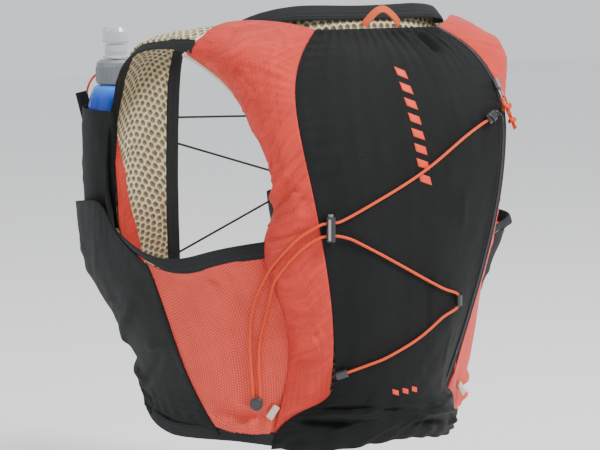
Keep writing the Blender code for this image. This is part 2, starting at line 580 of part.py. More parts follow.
def on_cloth(points, cloths, lift):
    """Drop points onto the outside of the cloths and raise them by lift; skip seam gaps."""
    depsgraph = bpy.context.evaluated_depsgraph_get()
    finished = [bpy.data.objects[name].evaluated_get(depsgraph) for name in cloths]
    laid = []
    for point in points:
        out = Vector((point.x, point.y - 0.03, 0.0)).normalized()
        start = point + out * 0.06
        best = None
        for cloth in finished:
            found, place_at, normal, _ = cloth.ray_cast(start, -out)
            if found and (best is None or (place_at - start).length < best[0]):
                best = ((place_at - start).length, place_at, normal)
        if best is not None:
            laid.append(best[1] + (best[2] + out).normalized() * lift)
    return laid


def eased(line, turns):
    """The line with its inner points averaged with their neighbours."""
    for _ in range(turns):
        middle = [(a + b * 2 + c) / 4 for a, b, c in zip(line, line[1:], line[2:])]
        line = [line[0], *middle, line[-1]]
    return line


def cord(name, points, diameter, look):
    """A round cord along the points, with closed ends."""
    curve = bpy.data.curves.new(name, "CURVE")
    curve.dimensions = "3D"
    curve.bevel_depth = diameter / 2
    curve.bevel_resolution = 2
    curve.use_fill_caps = True
    spline = curve.splines.new("POLY")
    spline.points.add(len(points) - 1)
    for knot, point in zip(spline.points, points, strict=True):
        knot.co = (*point, 1.0)
    return place(bpy.data.objects.new(name, curve), name, look)


def zip_line(look):
    rows = []
    for x, y, z in YOKE_SEAM[1:]:
        rows.append([(-x, y, z), (-x + ZIP_WIDTH * 0.5, y + 0.0006, z), (-x + ZIP_WIDTH, y, z)])
    sheet("zip_tape", rows, look, CLOTH)


def zip_hardware(metal, orange):
    down = Vector(YOKE_SEAM[6]) - Vector(YOKE_SEAM[7])
    down.x = -down.x
    matrix = frame_of(SLIDER_AT, down, (-0.42, 0.84, 0.34))
    wide, deep, long = SLIDER_SIZE
    lug_wide, lug_deep, lug_long = LUG
    body = block(matrix, (long + lug_long, deep, wide), (lug_long / 2, 0.0, 0.0), 0.0005)
    end = long / 2 + lug_long / 2
    shoulder = (wide - lug_wide) / 2
    cutters = []
    for sign in (-1, 1):
        side = sign * (lug_wide / 2 + shoulder / 2 + 0.0005)
        size = (lug_long + 0.0002, deep * 2, shoulder + 0.001)
        cutters.append(block(matrix, size, (end + 0.0001, 0.0, side)))
    hinge = matrix @ Matrix.Translation((end + 0.0002, 0.0, 0.0))
    across = hinge @ Matrix.Rotation(math.pi / 2, 4, "Y")
    cutters.append(rod(across, LINK_WIRE + 0.0003, wide * 2))
    cut("zip_slider", body, cutters, metal)

    corners = []
    half = LINK_WIDE / 2
    for x, z in ((0, -0.55), (0, 0.0), (0, 0.55), (0.12, 1), (0.5, 1), (0.88, 1), (1, 0.55),
                 (1, 0.0), (1, -0.55), (0.88, -1), (0.5, -1), (0.12, -1)):
        corners.append(Vector((x * LINK_LONG, 0.0, z * half)))
    rings = []
    for k, corner in enumerate(corners):
        ahead = corners[(k + 1) % len(corners)] - corners[k - 1]
        section = hinge @ frame_of(corner, ahead, (0.0, 1.0, 0.0))
        rings.append(oval(section, 0.0, LINK_WIRE, LINK_WIRE, count=8))
    loft("zip_puller", rings, metal, closed=True)

    top = LINK_LONG - LINK_WIRE - THIN_CORD / 2 - 0.0004
    front = LINK_WIRE + THIN_CORD / 2 + 0.0004
    arc = []
    for k in range(7):
        angle = math.pi * k / 6
        arc.append(Vector((LINK_LONG - (LINK_LONG - top) * math.sin(angle),
                           front * math.cos(angle), 0.0)))
    fall = (hinge.to_3x3().inverted() @ Vector((-0.30, 0.30, -1.0))).normalized()
    legs = []
    for point in (arc[0], arc[-1]):
        straight = [point + Vector((0.003, 0.0, 0.0)), point + Vector((0.007, 0.0006, 0.0))]
        far = straight[-1] + fall * (PULL_LENGTH - 0.014)
        legs.append([*straight, straight[-1].lerp(far, 0.5), far])
    line = [*legs[0][::-1], *arc, *legs[1]]
    cord("zip_pull_cord", through([hinge @ point for point in line], 0.002), THIN_CORD, orange)


def turned(name, profile, look, sign, oval_axes=(1.0, 1.0)):
    """A profile turned about the flask's axis, scaled across it to an oval."""
    mesh = bpy.data.meshes.new(name)
    shape = bmesh.new()
    wide, deep = oval_axes
    points = [shape.verts.new((radius, 0.0, height)) for radius, height in profile]
    for a, b in zip(points, points[1:]):
        shape.edges.new((a, b))
    bmesh.ops.remove_doubles(shape, verts=shape.verts, dist=0.00001)
    shape.to_mesh(mesh)
    shape.free()
    obj = place(bpy.data.objects.new(name, mesh), name, look)
    spin = obj.modifiers.new("turn", "SCREW")
    spin.steps = spin.render_steps = 28
    spin.use_merge_vertices = True
    spin.merge_threshold = 0.00001
    spin.use_smooth_shade = True
    x, y = FLASK_AXIS
    obj.location = (sign * x, y, 0.0)
    obj.rotation_euler.z = sign * FLASK_TURN
    obj.scale = (wide, deep, 1.0)
    return obj


def flasks(blue, grey, clear, orange, black):
    for side, sign in SIDES:
        turned(f"flask_body_{side}", FLASK_PROFILE, blue, sign, (FLASK_WIDE, FLASK_DEEP))
        turned(f"flask_cap_{side}", CAP_PROFILE, grey, sign)
        turned(f"valve_spout_{side}", SPOUT_PROFILE, clear, sign)
        turned(f"bite_valve_{side}", VALVE_PROFILE, clear, sign)
        line = [Vector(point) for point in flip(RETAINER, sign)]
        cord(f"flask_retainer_{side}", through(line, 0.005), THIN_CORD, orange)
        tab = frame_of(flip([POCKET_TAB_AT], sign)[0], (0.0, 0.0, 1.0), (sign * -0.4, -0.9, 0.0))
        place(block(tab, POCKET_TAB, bevel=0.0005), f"pocket_tab_{side}", black)


def bungee_and_stops(orange, black, grey):
    shell = ["back_shell"]
    sides = ["back_shell", "yoke_left", "side_panel_left"]
    out = Vector((0.32, 0.94, -0.06)).normalized()
    lock = frame_of(Vector(LOCK_AT) + out * LOCK_RISE, (1.0, -0.34, 0.0), out)
    long, deep, tall = LOCK_SIZE
    cords = [lock @ Matrix.Translation((0.0, 0.0, -sign * CORD_SPREAD)) for sign in (1, -1)]
    if (lock @ Vector((0, 0, 1)) - lock @ Vector((0, 0, 0))).z > 0:
        cords = cords[::-1]
    up = Vector((0.0, 0.0, 1.0))
    stand = frame_of(lock.translation, up, out)
    body = block(stand, (tall, deep, long), (0.0002, 0.0, 0.0), 0.0011)
    cutters = [rod(matrix, CORD / 2 + HOLE_PLAY, long * 2) for matrix in cords]
    bore = stand @ Matrix.Translation((tall / 2, 0.0, 0.0))
    cutters.append(rod(bore, *BUTTON_BORE))
    cut("cord_lock_body", body, cutters, black)
    rings = []
    for x, radius in ((-0.0006, 0.0019), (-0.0002, 0.0023), (0.0016, 0.0023), (0.0020, 0.0019)):
        rings.append(oval(bore, x, radius, radius, count=20))
    loft("cord_lock_button", rings, grey)

    upper = on_cloth([Vector(p) for p in BUNGEE_UPPER], shell, CORD_LIFT)
    first = upper[0]
    way = (upper[0] - upper[1]).normalized()
    hook_out = Vector((-0.27, 0.94, 0.21)).normalized()
    hook = frame_of(first + way * 0.004 + hook_out * 0.0020, -way, hook_out)
    cord_stop("cord_hook_upper", hook, HOOK_SIZE, CORD / 2 + HOLE_PLAY, STOP_DEPTH, black)
    start = hook @ Vector((-0.0048, 0.0, 0.0))

    def laid(points, cloths, lift=CORD_LIFT):
        line = through(points, BUNGEE_STEP)
        return eased(on_cloth(line, cloths, lift), 1)

    step = (lock.to_3x3() @ Vector((1.0, 0.0, 0.0))).normalized()
    above, below = [matrix.translation for matrix in cords]
    tail = laid(BUNGEE_TAIL, sides, TAIL_LIFT)
    back = laid(BUNGEE_RETURN, sides, TAIL_LIFT)
    end_out = Vector((0.54, 0.82, -0.18)).normalized()
    end_at = (tail[-1] + back[0]) / 2 + Vector((0.0, 0.0, -0.0150))
    end = frame_of(end_at + end_out * 0.0008, up, end_out)
    wide, thick, high = CORD_END_SIZE
    body = rod(end @ Matrix.Rotation(math.pi / 2, 4, "Z"), wide / 2, thick, 28)
    pocket = block(end, (high, thick, wide - 0.0036), (0.0018, -0.0011, 0.0))
    cut("cord_end", body, [pocket], black)
    turn = []
    for k in range(7):
        angle = math.pi * k / 6
        turn.append(end @ Vector((-0.0001 - 0.0021 * math.sin(angle), -0.0007,
                                  0.0021 * math.cos(angle))))
    if (turn[0] - tail[-1]).length > (turn[-1] - tail[-1]).length:
        turn = turn[::-1]
    rise = Vector((0.0, 0.0, 0.0035))
    u_turn = [turn[0] + rise * 1.6, turn[0] + rise, *turn, turn[-1] + rise, turn[-1] + rise * 1.6]

    loop_out = Vector((-0.30, 0.94, -0.14)).normalized()
    loop = frame_of(Vector(LOOP_AT) + loop_out * 0.0040, up, loop_out)
    rings = [oval(loop, x, 0.0024, 0.0027, squareness=3.0) for x in (-0.0045, 0.0045)]
    rings += [oval(loop, x, CORD / 2 + 0.0004, CORD / 2 + 0.0004) for x in (0.0045, -0.0045)]
    loft("cord_loop", rings, black, closed=True)
    loop_top = [loop @ Vector((x, 0.0, 0.0)) for x in (0.0058, 0.0030)]
    loop_foot = [loop @ Vector((x, 0.0, 0.0)) for x in (-0.0030, -0.0058)]

    foot = laid(BUNGEE_FOOT, shell)
    lower = laid(BUNGEE_LOWER, shell)
    way = (Vector(ANCHOR_AT) - Vector(BUNGEE_FOOT[-1])).normalized()
    anchor_out = Vector((0.51, 0.82, -0.27)).normalized()
    anchor = frame_of(Vector(ANCHOR_AT) + anchor_out * 0.0034, -way, anchor_out)
    cord_stop("cord_anchor_lower", anchor, ANCHOR_SIZE, CORD / 2 + HOLE_PLAY, STOP_DEPTH, black)
    stop = anchor @ Vector((-0.0048, 0.0, 0.0))

    line = [start, hook.translation, *laid(BUNGEE_UPPER, shell)]
    line += [above - step * 0.0065, above - step * 0.0035, above + step * 0.0035,
             above + step * 0.0065]
    line += [*tail, *u_turn, *back]
    line += [below + step * 0.0065, below + step * 0.0035, below - step * 0.0035,
             below - step * 0.0065]
    line += [*lower, *loop_top, *loop_foot, *foot, anchor.translation, stop]
    cord("bungee", line, CORD, orange)


def chest_cords(black):
    for name, (left, right) in CHEST_CORDS.items():
        left, right = Vector(left), Vector(right)
        way = (right - left).normalized()
        ends = []
        for side, at, toward in (("left", left, way), ("right", right, -way)):
            matrix = frame_of(at + toward * CHEST_STOP[2] / 2, toward, (0.0, -1.0, 0.0))
            size = (CHEST_STOP[2], CHEST_STOP[1], CHEST_STOP[0])
            cord_stop(f"chest_stop_{name}_{side}", matrix, size,
                      THIN_CORD / 2 + HOLE_PLAY, CHEST_STOP_DEPTH, black)
            ends.append(matrix @ Vector((-0.0046, 0.0, 0.0)))
        line = [ends[0].lerp(ends[1], k / 4) for k in range(5)]
        cord(f"chest_cord_{name}", line, THIN_CORD, black)


def loops_and_tabs(orange, beige):
    middle = [Vector(point) for point in HANG_LOOP]
    rows = []
    for k, point in enumerate(middle):
        ahead = middle[min(k + 1, 6)] - middle[max(k - 1, 0)]
        side = ahead.cross(Vector((0.0, 1.0, 0.35))).normalized() * HANG_LOOP_WIDTH / 2
        rows.append([point - side, point, point + side])
    sheet("hang_loop", rows, orange, CLOTH, gap=0.0002)
    for side, sign in SIDES:
        at = Vector(flip([SIDE_TAB_AT], sign)[0])
        out = Vector((sign * 0.44, 0.88, -0.18)).normalized()
        tab = frame_of(at + out * 0.0030, (sign * 0.16, -0.08, 1.0), out)
        place(block(tab, (0.0125, 0.0024, 0.0085), bevel=0.0006), f"side_tab_{side}", beige)


clear_scene()
VEST = bpy.data.collections.new("running_vest")
bpy.context.scene.collection.children.link(VEST)
HANGER = bpy.data.objects.new("hanger", None)
VEST.objects.link(HANGER)
HANGER.location = (0.0, 0.0, -SHOULDER)

CORAL = make_material("coral_ripstop", (0.75, 0.11, 0.08), 0.55)
BLACK = make_material("black_stretch", (0.032, 0.034, 0.036), 0.7)
TAPE = make_material("black_binding", (0.04, 0.042, 0.045), 0.75)
SPACER = make_material("beige_spacer_mesh", (0.75, 0.62, 0.46), 0.85)
ORANGE = make_material("orange_cord", (0.85, 0.14, 0.05), 0.6)
HARD_BLACK = make_material("black_moulding", (0.03, 0.03, 0.032), 0.35)
METAL = make_material("zip_metal", (0.30, 0.30, 0.31), 0.35, 1.0)
BLUE = make_material("blue_flask", (0.06, 0.27, 0.78), 0.25)
SMOKE = make_material("smoke_plastic", (0.42, 0.44, 0.46), 0.35)
CLEAR = make_material("clear_silicone", (0.70, 0.74, 0.78), 0.3)

back_lining(SPACER)
back_shell(BLACK)
yokes(CORAL)
side_panels(CORAL)
front_panels(SPACER, CORAL)
pockets(BLACK)
bindings(TAPE)
zip_line(TAPE)
zip_hardware(METAL, ORANGE)
flasks(BLUE, SMOKE, CLEAR, ORANGE, TAPE)
bungee_and_stops(ORANGE, HARD_BLACK, SMOKE)
chest_cords(HARD_BLACK)
loops_and_tabs(ORANGE, SPACER)
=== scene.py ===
import itertools
import math

import bmesh
import bpy
import numpy as np
from mathutils import Matrix, Vector
from mathutils.bvhtree import BVHTree


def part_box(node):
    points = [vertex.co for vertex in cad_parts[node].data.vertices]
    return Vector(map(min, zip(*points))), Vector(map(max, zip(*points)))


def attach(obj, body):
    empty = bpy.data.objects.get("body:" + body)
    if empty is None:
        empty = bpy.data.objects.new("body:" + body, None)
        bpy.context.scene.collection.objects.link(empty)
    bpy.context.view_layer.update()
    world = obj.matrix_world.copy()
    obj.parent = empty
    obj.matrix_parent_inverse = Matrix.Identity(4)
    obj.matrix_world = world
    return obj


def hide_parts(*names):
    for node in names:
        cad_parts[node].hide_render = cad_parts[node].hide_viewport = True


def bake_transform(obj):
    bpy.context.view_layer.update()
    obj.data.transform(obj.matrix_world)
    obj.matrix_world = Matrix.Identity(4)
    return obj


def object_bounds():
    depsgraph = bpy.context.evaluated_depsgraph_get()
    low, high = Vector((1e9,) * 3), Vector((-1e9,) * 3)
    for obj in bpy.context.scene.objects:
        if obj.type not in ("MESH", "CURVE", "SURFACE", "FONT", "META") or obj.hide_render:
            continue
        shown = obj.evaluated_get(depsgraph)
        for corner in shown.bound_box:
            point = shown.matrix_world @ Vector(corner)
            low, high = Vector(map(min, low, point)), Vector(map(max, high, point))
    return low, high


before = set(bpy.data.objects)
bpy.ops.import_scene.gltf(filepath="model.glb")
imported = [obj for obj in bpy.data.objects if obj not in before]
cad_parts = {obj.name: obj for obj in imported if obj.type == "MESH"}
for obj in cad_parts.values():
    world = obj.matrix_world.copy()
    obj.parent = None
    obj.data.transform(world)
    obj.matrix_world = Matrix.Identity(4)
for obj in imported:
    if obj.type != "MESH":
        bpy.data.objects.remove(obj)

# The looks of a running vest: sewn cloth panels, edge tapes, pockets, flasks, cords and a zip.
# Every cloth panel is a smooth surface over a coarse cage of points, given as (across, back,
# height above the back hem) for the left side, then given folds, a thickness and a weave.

CAD_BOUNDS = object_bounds()
SHOULDER = 0.335            # height of the shoulder rest above the back hem
# How far the right side stands out in front, and draws in at the side seam, by height. The
# front stands a little further out than in the CAD model.
FLARE = ((0.0, 0.026), (0.025, 0.036), (0.055, 0.038), (0.085, 0.044), (0.110, 0.058),
         (0.150, 0.087), (0.200, 0.040), (0.260, 0.0))
TUCK = ((0.0, 0.026), (0.030, 0.031), (0.055, 0.018), (0.085, 0.010), (0.130, 0.0))
CLOTH = 0.0009              # thickness of the plain cloths
MESH_PAD = 0.0024           # of the spacer mesh
BAND = 0.0024               # of the edge tapes, over both their layers
SEWN_AT = 0.80              # where the edge tapes are sewn, as a share of their width
CORD = 0.0024               # diameter of the bungee
THIN_CORD = 0.0020          # of the chest cords and the flasks' retainers
PULL_CORD = 0.0018          # of the cord on the zip's puller
RIPSTOP_PITCH = 0.0035      # between the ripstop's raised threads
MESH_PITCH = (0.0068, 0.0058)
MESH_HOLE = 0.0026          # radius of the spacer mesh's cells
BRAID_PITCH = 0.0022
HOLES_START = (-0.02106, -0.0195)   # where the side panel's holes fade in, across it
LINING_COLOUR = (0.95, 0.62, 0.50)  # what shows through them
FLASK_FILLED = 0.2740       # height of the water in the flasks above the back hem
FLOOR_DROP = 0.12           # from the vest's lowest point to the floor
SIDES = (("left", 1), ("right", -1))

# ---------------------------------------------------------------- cages, as in the CAD model
YOKE_SEAM = [
    (0.057, 0.138, 0.040), (0.066, 0.149, 0.080), (0.075, 0.158, 0.125),
    (0.085, 0.162, 0.165), (0.094, 0.163, 0.205), (0.101, 0.159, 0.240),
    (0.106, 0.153, 0.275), (0.101, 0.141, 0.303), (0.086, 0.130, 0.327),
    (0.062, 0.114, 0.343),
]
YOKE_EDGE = [
    (0.0927, 0.1023, 0.0176), (0.0836, 0.1142, 0.0712), (0.0932, 0.1138, 0.1198),
    (0.1167, 0.1053, 0.1646), (0.0949, 0.1147, 0.2009), (0.0997, 0.1092, 0.2425),
    (0.1146, 0.0966, 0.2717), (0.1272, 0.0825, 0.3011), (0.1508, 0.0562, 0.3243),
]
YOKE_BULGE = [0.0, 0.009, 0.013, 0.016, 0.018, 0.019, 0.020]
YOKE_HEEL = (0.0635, 0.1385, 0.048)
YOKE_FOOT = [(0.066, 0.130, 0.036), (0.074, 0.122, 0.031), (0.083, 0.112, 0.026)]
YOKE_BLADE = [(0.122, 0.134, 0.312), (0.139, 0.120, 0.314), (0.143, 0.101, 0.309)]
YOKE_RIDGE = [(0.104, 0.123, 0.338), (0.125, 0.109, 0.338), (0.143, 0.086, 0.331)]
YOKE_TOP = [(0.084, 0.101, 0.350), (0.109, 0.066, 0.351), (0.132, 0.063, 0.346),
            (0.151, 0.056, 0.324)]
SHELL_CROWN = [0.163, 0.173, 0.179, 0.181, 0.181, 0.178, 0.171, 0.160, 0.145, 0.120]
SHELL_FOOT = [
    [(0.094, 0.097, -0.003), (0.068, 0.130, -0.003), (0.035, 0.149, 0.001), (0.0, 0.153, 0.006)],
    [(0.091, 0.102, 0.015), (0.066, 0.134, 0.018), (0.035, 0.155, 0.021), (0.0, 0.160, 0.024)],
    [(0.074, 0.122, 0.031), (0.054, 0.143, 0.032), (0.028, 0.157, 0.033), (0.0, 0.163, 0.034)],
]
ZIP_WIDTH = 0.007
LINING_EDGE = [
    (0.0935, 0.0904, 0.0017), (0.0802, 0.1068, 0.0559), (0.0818, 0.1101, 0.0890),
    (0.0903, 0.1098, 0.1198), (0.1134, 0.1005, 0.1615), (0.0921, 0.1106, 0.2011),
    (0.0979, 0.1050, 0.2422), (0.1114, 0.0918, 0.2718), (0.1242, 0.0775, 0.3012),
    (0.1438, 0.0502, 0.3222),
]
LINING_CROWN = [0.110, 0.117, 0.119, 0.120, 0.120, 0.119, 0.115, 0.110, 0.104, 0.098]
LINING_TOP = [(0.100, 0.046, 0.339), (0.090, 0.078, 0.345), (0.045, 0.093, 0.349),
              (0.0, 0.094, 0.349)]
SIDE_TOP = [
    (0.1688, 0.0192, 0.1474), (0.1663, 0.0448, 0.1419), (0.1563, 0.0684, 0.1424),
    (0.1413, 0.0888, 0.1518), (0.1128, 0.1075, 0.1584),
]
SIDE_FRONT = [
    (0.1678, 0.0282, 0.1346), (0.1642, 0.0349, 0.1149), (0.1570, 0.0410, 0.0850),
    (0.1480, 0.0460, 0.0550), (0.1380, 0.0520, 0.0300), (0.1290, 0.0590, 0.0110),
]
SIDE_BACK = [
    (0.1064, 0.1091, 0.1416), (0.0932, 0.1138, 0.1178), (0.0848, 0.1141, 0.0871),
    (0.0829, 0.1110, 0.0561), (0.0906, 0.1013, 0.0277), (0.0956, 0.0953, 0.0067),
]
SIDE_BULGE = [0.010, 0.012, 0.014, 0.013, 0.010, 0.006]
FRONT = [
    [(0.1000, 0.0350, 0.3420), (0.1130, 0.0440, 0.3450), (0.1306, 0.0542, 0.3435),
     (0.1461, 0.0496, 0.3352)],
    [(0.0990, 0.0120, 0.3390), (0.1120, 0.0180, 0.3420), (0.1300, 0.0240, 0.3406),
     (0.1461, 0.0259, 0.3346)],
    [(0.0970, -0.0140, 0.3370), (0.1110, -0.0100, 0.3400), (0.1278, -0.0089, 0.3378),
     (0.1425, -0.0097, 0.3310)],
    [(0.0920, -0.0460, 0.3330), (0.1060, -0.0430, 0.3360), (0.1237, -0.0404, 0.3342),
     (0.1406, -0.0411, 0.3281)],
    [(0.0830, -0.0810, 0.3230), (0.0990, -0.0780, 0.3260), (0.1170, -0.0736, 0.3216),
     (0.1347, -0.0718, 0.3137)],
    [(0.0740, -0.1060, 0.3030), (0.0900, -0.1090, 0.3030), (0.1091, -0.1047, 0.2982),
     (0.1264, -0.0965, 0.2883)],
    [(0.0710, -0.1150, 0.2780), (0.0900, -0.1190, 0.2760), (0.1111, -0.1131, 0.2699),
     (0.1305, -0.1007, 0.2637)],
    [(0.0705, -0.1180, 0.2450), (0.0930, -0.1230, 0.2430), (0.1155, -0.1160, 0.2407),
     (0.1346, -0.0988, 0.2405)],
    [(0.0705, -0.1190, 0.2150), (0.0930, -0.1250, 0.2150), (0.1147, -0.1185, 0.2129),
     (0.1320, -0.1027, 0.2147)],
    [(0.0705, -0.1190, 0.1850), (0.0930, -0.1250, 0.1850), (0.1141, -0.1198, 0.1851),
     (0.1289, -0.1047, 0.1854)],
    [(0.0705, -0.1180, 0.1600), (0.0950, -0.1240, 0.1600), (0.1185, -0.1170, 0.1602),
     (0.1354, -0.0950, 0.1625)],
    [(0.0705, -0.1170, 0.1350), (0.0980, -0.1210, 0.1340), (0.1292, -0.1055, 0.1360),
     (0.1535, -0.0478, 0.1523)],
    [(0.0705, -0.1160, 0.1120), (0.0980, -0.1180, 0.1100), (0.1349, -0.0879, 0.1150),
     (0.1604, -0.0097, 0.1464)],
    [(0.0705, -0.1140, 0.0900), (0.0980, -0.1120, 0.0850), (0.1320, -0.0740, 0.0850),
     (0.1615, 0.0243, 0.1251)],
    [(0.0710, -0.1100, 0.0650), (0.0980, -0.1040, 0.0600), (0.1260, -0.0640, 0.0560),
     (0.1520, 0.0370, 0.0830)],
    [(0.0720, -0.1060, 0.0520), (0.0960, -0.0960, 0.0400), (0.1210, -0.0560, 0.0280),
     (0.1350, 0.0460, 0.0360)],
    [(0.0720, -0.1040, 0.0450), (0.0940, -0.0930, 0.0340), (0.1180, -0.0530, 0.0210),
     (0.1240, 0.0530, 0.0130)],
]
# The wedge's inner line on the left front panel: (height, across), top to bottom.
WEDGE_LINE = ((0.244, 0.138), (0.233, 0.128), (0.213, 0.117), (0.193, 0.114), (0.175, 0.107),
              (0.144, 0.094))
ARMHOLE_RIM = [
    (0.1495, 0.0509, 0.3247), (0.1502, 0.0279, 0.3267), (0.1464, -0.0076, 0.3243),
    (0.1465, -0.0377, 0.3205), (0.1447, -0.0697, 0.3053), (0.1363, -0.0921, 0.2841),
    (0.1391, -0.0961, 0.2643), (0.1451, -0.0928, 0.2425), (0.1481, -0.0905, 0.2220),
    (0.1489, -0.0893, 0.2000), (0.1506, -0.0828, 0.1814), (0.1562, -0.0669, 0.1705),
    (0.1607, -0.0399, 0.1635), (0.1675, -0.0110, 0.1603), (0.1716, 0.0170, 0.1555),
    (0.1673, 0.0428, 0.1528), (0.1583, 0.0664, 0.1551), (0.1436, 0.0876, 0.1647),
    (0.1109, 0.1099, 0.1708),
]
ARMHOLE_SEAM = [
    (0.1461, 0.0506, 0.3338), (0.1464, 0.0278, 0.3334), (0.1424, -0.0096, 0.3287),
    (0.1402, -0.0408, 0.3270), (0.1332, -0.0708, 0.3128), (0.1262, -0.0964, 0.2884),
    (0.1300, -0.1004, 0.2633), (0.1335, -0.0981, 0.2424), (0.1376, -0.0975, 0.2214),
    (0.1383, -0.0973, 0.2001), (0.1407, -0.0906, 0.1767), (0.1491, -0.0721, 0.1596),
    (0.1583, -0.0416, 0.1559), (0.1645, -0.0091, 0.1529), (0.1687, 0.0188, 0.1507),
    (0.1666, 0.0446, 0.1436), (0.1571, 0.0676, 0.1428), (0.1423, 0.0878, 0.1522),
    (0.1111, 0.1092, 0.1582),
]
NECK_SEAM = [(0.100, 0.040, 0.344), (0.104, 0.058, 0.343), (0.094, 0.082, 0.348),
             (0.068, 0.094, 0.352), (0.035, 0.096, 0.351)]
NECK_BACK_SEAM = (0.0, 0.096, 0.351)
NECK_RIM = [(0.091, 0.042, 0.347), (0.0975, 0.057, 0.350), (0.087, 0.077, 0.358),
            (0.065, 0.089, 0.363), (0.034, 0.091, 0.362)]
NECK_BACK_RIM = (0.0, 0.091, 0.361)
FRONT_BAND_WIDTH = (0.0095, 0.0132)     # at the shoulder and down the front
HEM_SEAM = [
    (0.094, 0.096, 0.006), (0.113, 0.080, 0.009), (0.129, 0.060, 0.009), (0.135, 0.030, 0.006),
    (0.138, 0.000, 0.004), (0.139, -0.026, 0.012), (0.130, -0.056, 0.020),
    (0.112, -0.082, 0.028), (0.092, -0.098, 0.035), (0.077, -0.106, 0.042),
]
HEM_DROP = 0.010
LOWER_POCKET = [
    [(0.1697, 0.0182, 0.1466), (0.1660, -0.0130, 0.1540), (0.1590, -0.0560, 0.1650),
     (0.1525, -0.0870, 0.1880), (0.1535, -0.1080, 0.1880), (0.1330, -0.1880, 0.1770),
     (0.1010, -0.2050, 0.1750), (0.0645, -0.1745, 0.1745), (0.0725, -0.1285, 0.1745)],
    [(0.1686, 0.0262, 0.1358), (0.1671, -0.0124, 0.1370), (0.1620, -0.0580, 0.1350),
     (0.1567, -0.0853, 0.1386), (0.1514, -0.1126, 0.1421), (0.1310, -0.1840, 0.1460),
     (0.1010, -0.2020, 0.1470), (0.0660, -0.1710, 0.1490), (0.0730, -0.1260, 0.1500)],
    [(0.1652, 0.0339, 0.1150), (0.1675, -0.0097, 0.1069), (0.1600, -0.0620, 0.1040),
     (0.1535, -0.0905, 0.1080), (0.1470, -0.1190, 0.1120), (0.1290, -0.1720, 0.1150),
     (0.1010, -0.1900, 0.1170), (0.0700, -0.1600, 0.1210), (0.0730, -0.1250, 0.1220)],
    [(0.1580, 0.0410, 0.0850), (0.1600, -0.0050, 0.0800), (0.1500, -0.0580, 0.0780),
     (0.1420, -0.0815, 0.0800), (0.1340, -0.1050, 0.0820), (0.1120, -0.1380, 0.0850),
     (0.0950, -0.1460, 0.0880), (0.0780, -0.1370, 0.0940), (0.0730, -0.1230, 0.0980)],
    [(0.1490, 0.0460, 0.0550), (0.1490, 0.0000, 0.0520), (0.1390, -0.0450, 0.0500),
     (0.1320, -0.0620, 0.0525), (0.1250, -0.0790, 0.0550), (0.1080, -0.1040, 0.0600),
     (0.0940, -0.1170, 0.0640), (0.0810, -0.1200, 0.0710), (0.0730, -0.1190, 0.0760)],
    [(0.1390, 0.0520, 0.0300), (0.1420, 0.0050, 0.0250), (0.1400, -0.0350, 0.0280),
     (0.1355, -0.0510, 0.0310), (0.1310, -0.0670, 0.0340), (0.1130, -0.0930, 0.0410),
     (0.0970, -0.1060, 0.0470), (0.0830, -0.1135, 0.0530), (0.0730, -0.1150, 0.0580)],
    [(0.1300, 0.0590, 0.0110), (0.1370, 0.0100, 0.0070), (0.1400, -0.0300, 0.0160),
     (0.1355, -0.0460, 0.0205), (0.1310, -0.0620, 0.0250), (0.1130, -0.0870, 0.0320),
     (0.0960, -0.1010, 0.0380), (0.0830, -0.1080, 0.0440), (0.0730, -0.1110, 0.0480)],
]
POCKET_ROUND = [(0.1430, -0.1035), (0.1455, -0.134), (0.1275, -0.175), (0.099, -0.190),
                (0.068, -0.168), (0.0735, -0.1245)]
POCKET_ROWS = [(0.108, 0.42), (0.118, 0.72), (0.134, 0.86), (0.156, 0.92), (0.190, 0.97),
               (0.225, 1.0), (0.250, 1.0), (0.266, 0.985)]
POCKET_HEART = (0.106, -0.138)

BUNGEE_UPPER = [(-0.070, 0.164, 0.264), (-0.043, 0.172, 0.252), (0.002, 0.179, 0.227),
                (0.041, 0.177, 0.208), (0.066, 0.171, 0.195)]
BUNGEE_TAIL = [(0.0960, 0.159, 0.1850), (0.1030, 0.152, 0.1790), (0.1085, 0.144, 0.1680),
               (0.1125, 0.126, 0.1510), (0.1120, 0.109, 0.1360), (0.1150, 0.101, 0.1150),
               (0.1160, 0.099, 0.0850), (0.1110, 0.096, 0.0500)]
BUNGEE_RETURN = [(0.1060, 0.099, 0.0500), (0.1085, 0.102, 0.0850), (0.1040, 0.107, 0.1120),
                 (0.1010, 0.113, 0.1340), (0.1060, 0.140, 0.1550), (0.1030, 0.151, 0.1670),
                 (0.0970, 0.158, 0.1740)]
BUNGEE_LOWER = [(0.066, 0.172, 0.177), (0.040, 0.177, 0.163), (0.002, 0.180, 0.142),
                (-0.024, 0.177, 0.129)]
BUNGEE_FOOT = [(-0.024, 0.174, 0.106), (-0.002, 0.174, 0.091), (0.030, 0.166, 0.074)]
# Where the small parts sit, which way they face and, for the lock, which way its cords run.
LOCK_AT, LOCK_OUT, LOCK_ALONG = (0.0825, 0.1655, 0.1855), (0.32, 0.94, -0.06), (1.0, -0.34, 0.0)
LOOP_AT, LOOP_OUT = (-0.0400, 0.1710, 0.1185), (-0.30, 0.94, -0.14)
ANCHOR_AT, ANCHOR_OUT = (0.0540, 0.1500, 0.0640), (0.51, 0.82, -0.27)
SLIDER_AT, SLIDER_OUT = (-0.1000, 0.1478, 0.2955), (-0.42, 0.84, 0.34)
HOOK_OUT, CORD_END_OUT = (-0.27, 0.94, 0.21), (0.54, 0.82, -0.18)
TURN_RADIUS = 0.0027        # of the bungee's fold in the grip at the end of its tail
CORD_SPREAD = 0.0052        # each cord's distance above or below the middle of the lock
LOCK_RISE = 0.0044          # how far the cords stand off the cloth inside the lock
CORD_LIFT = 0.0022          # height of the bungee's middle above the cloth it lies on
TAIL_LIFT = 0.0030          # the same for its loose tail, which crosses the yoke's edge
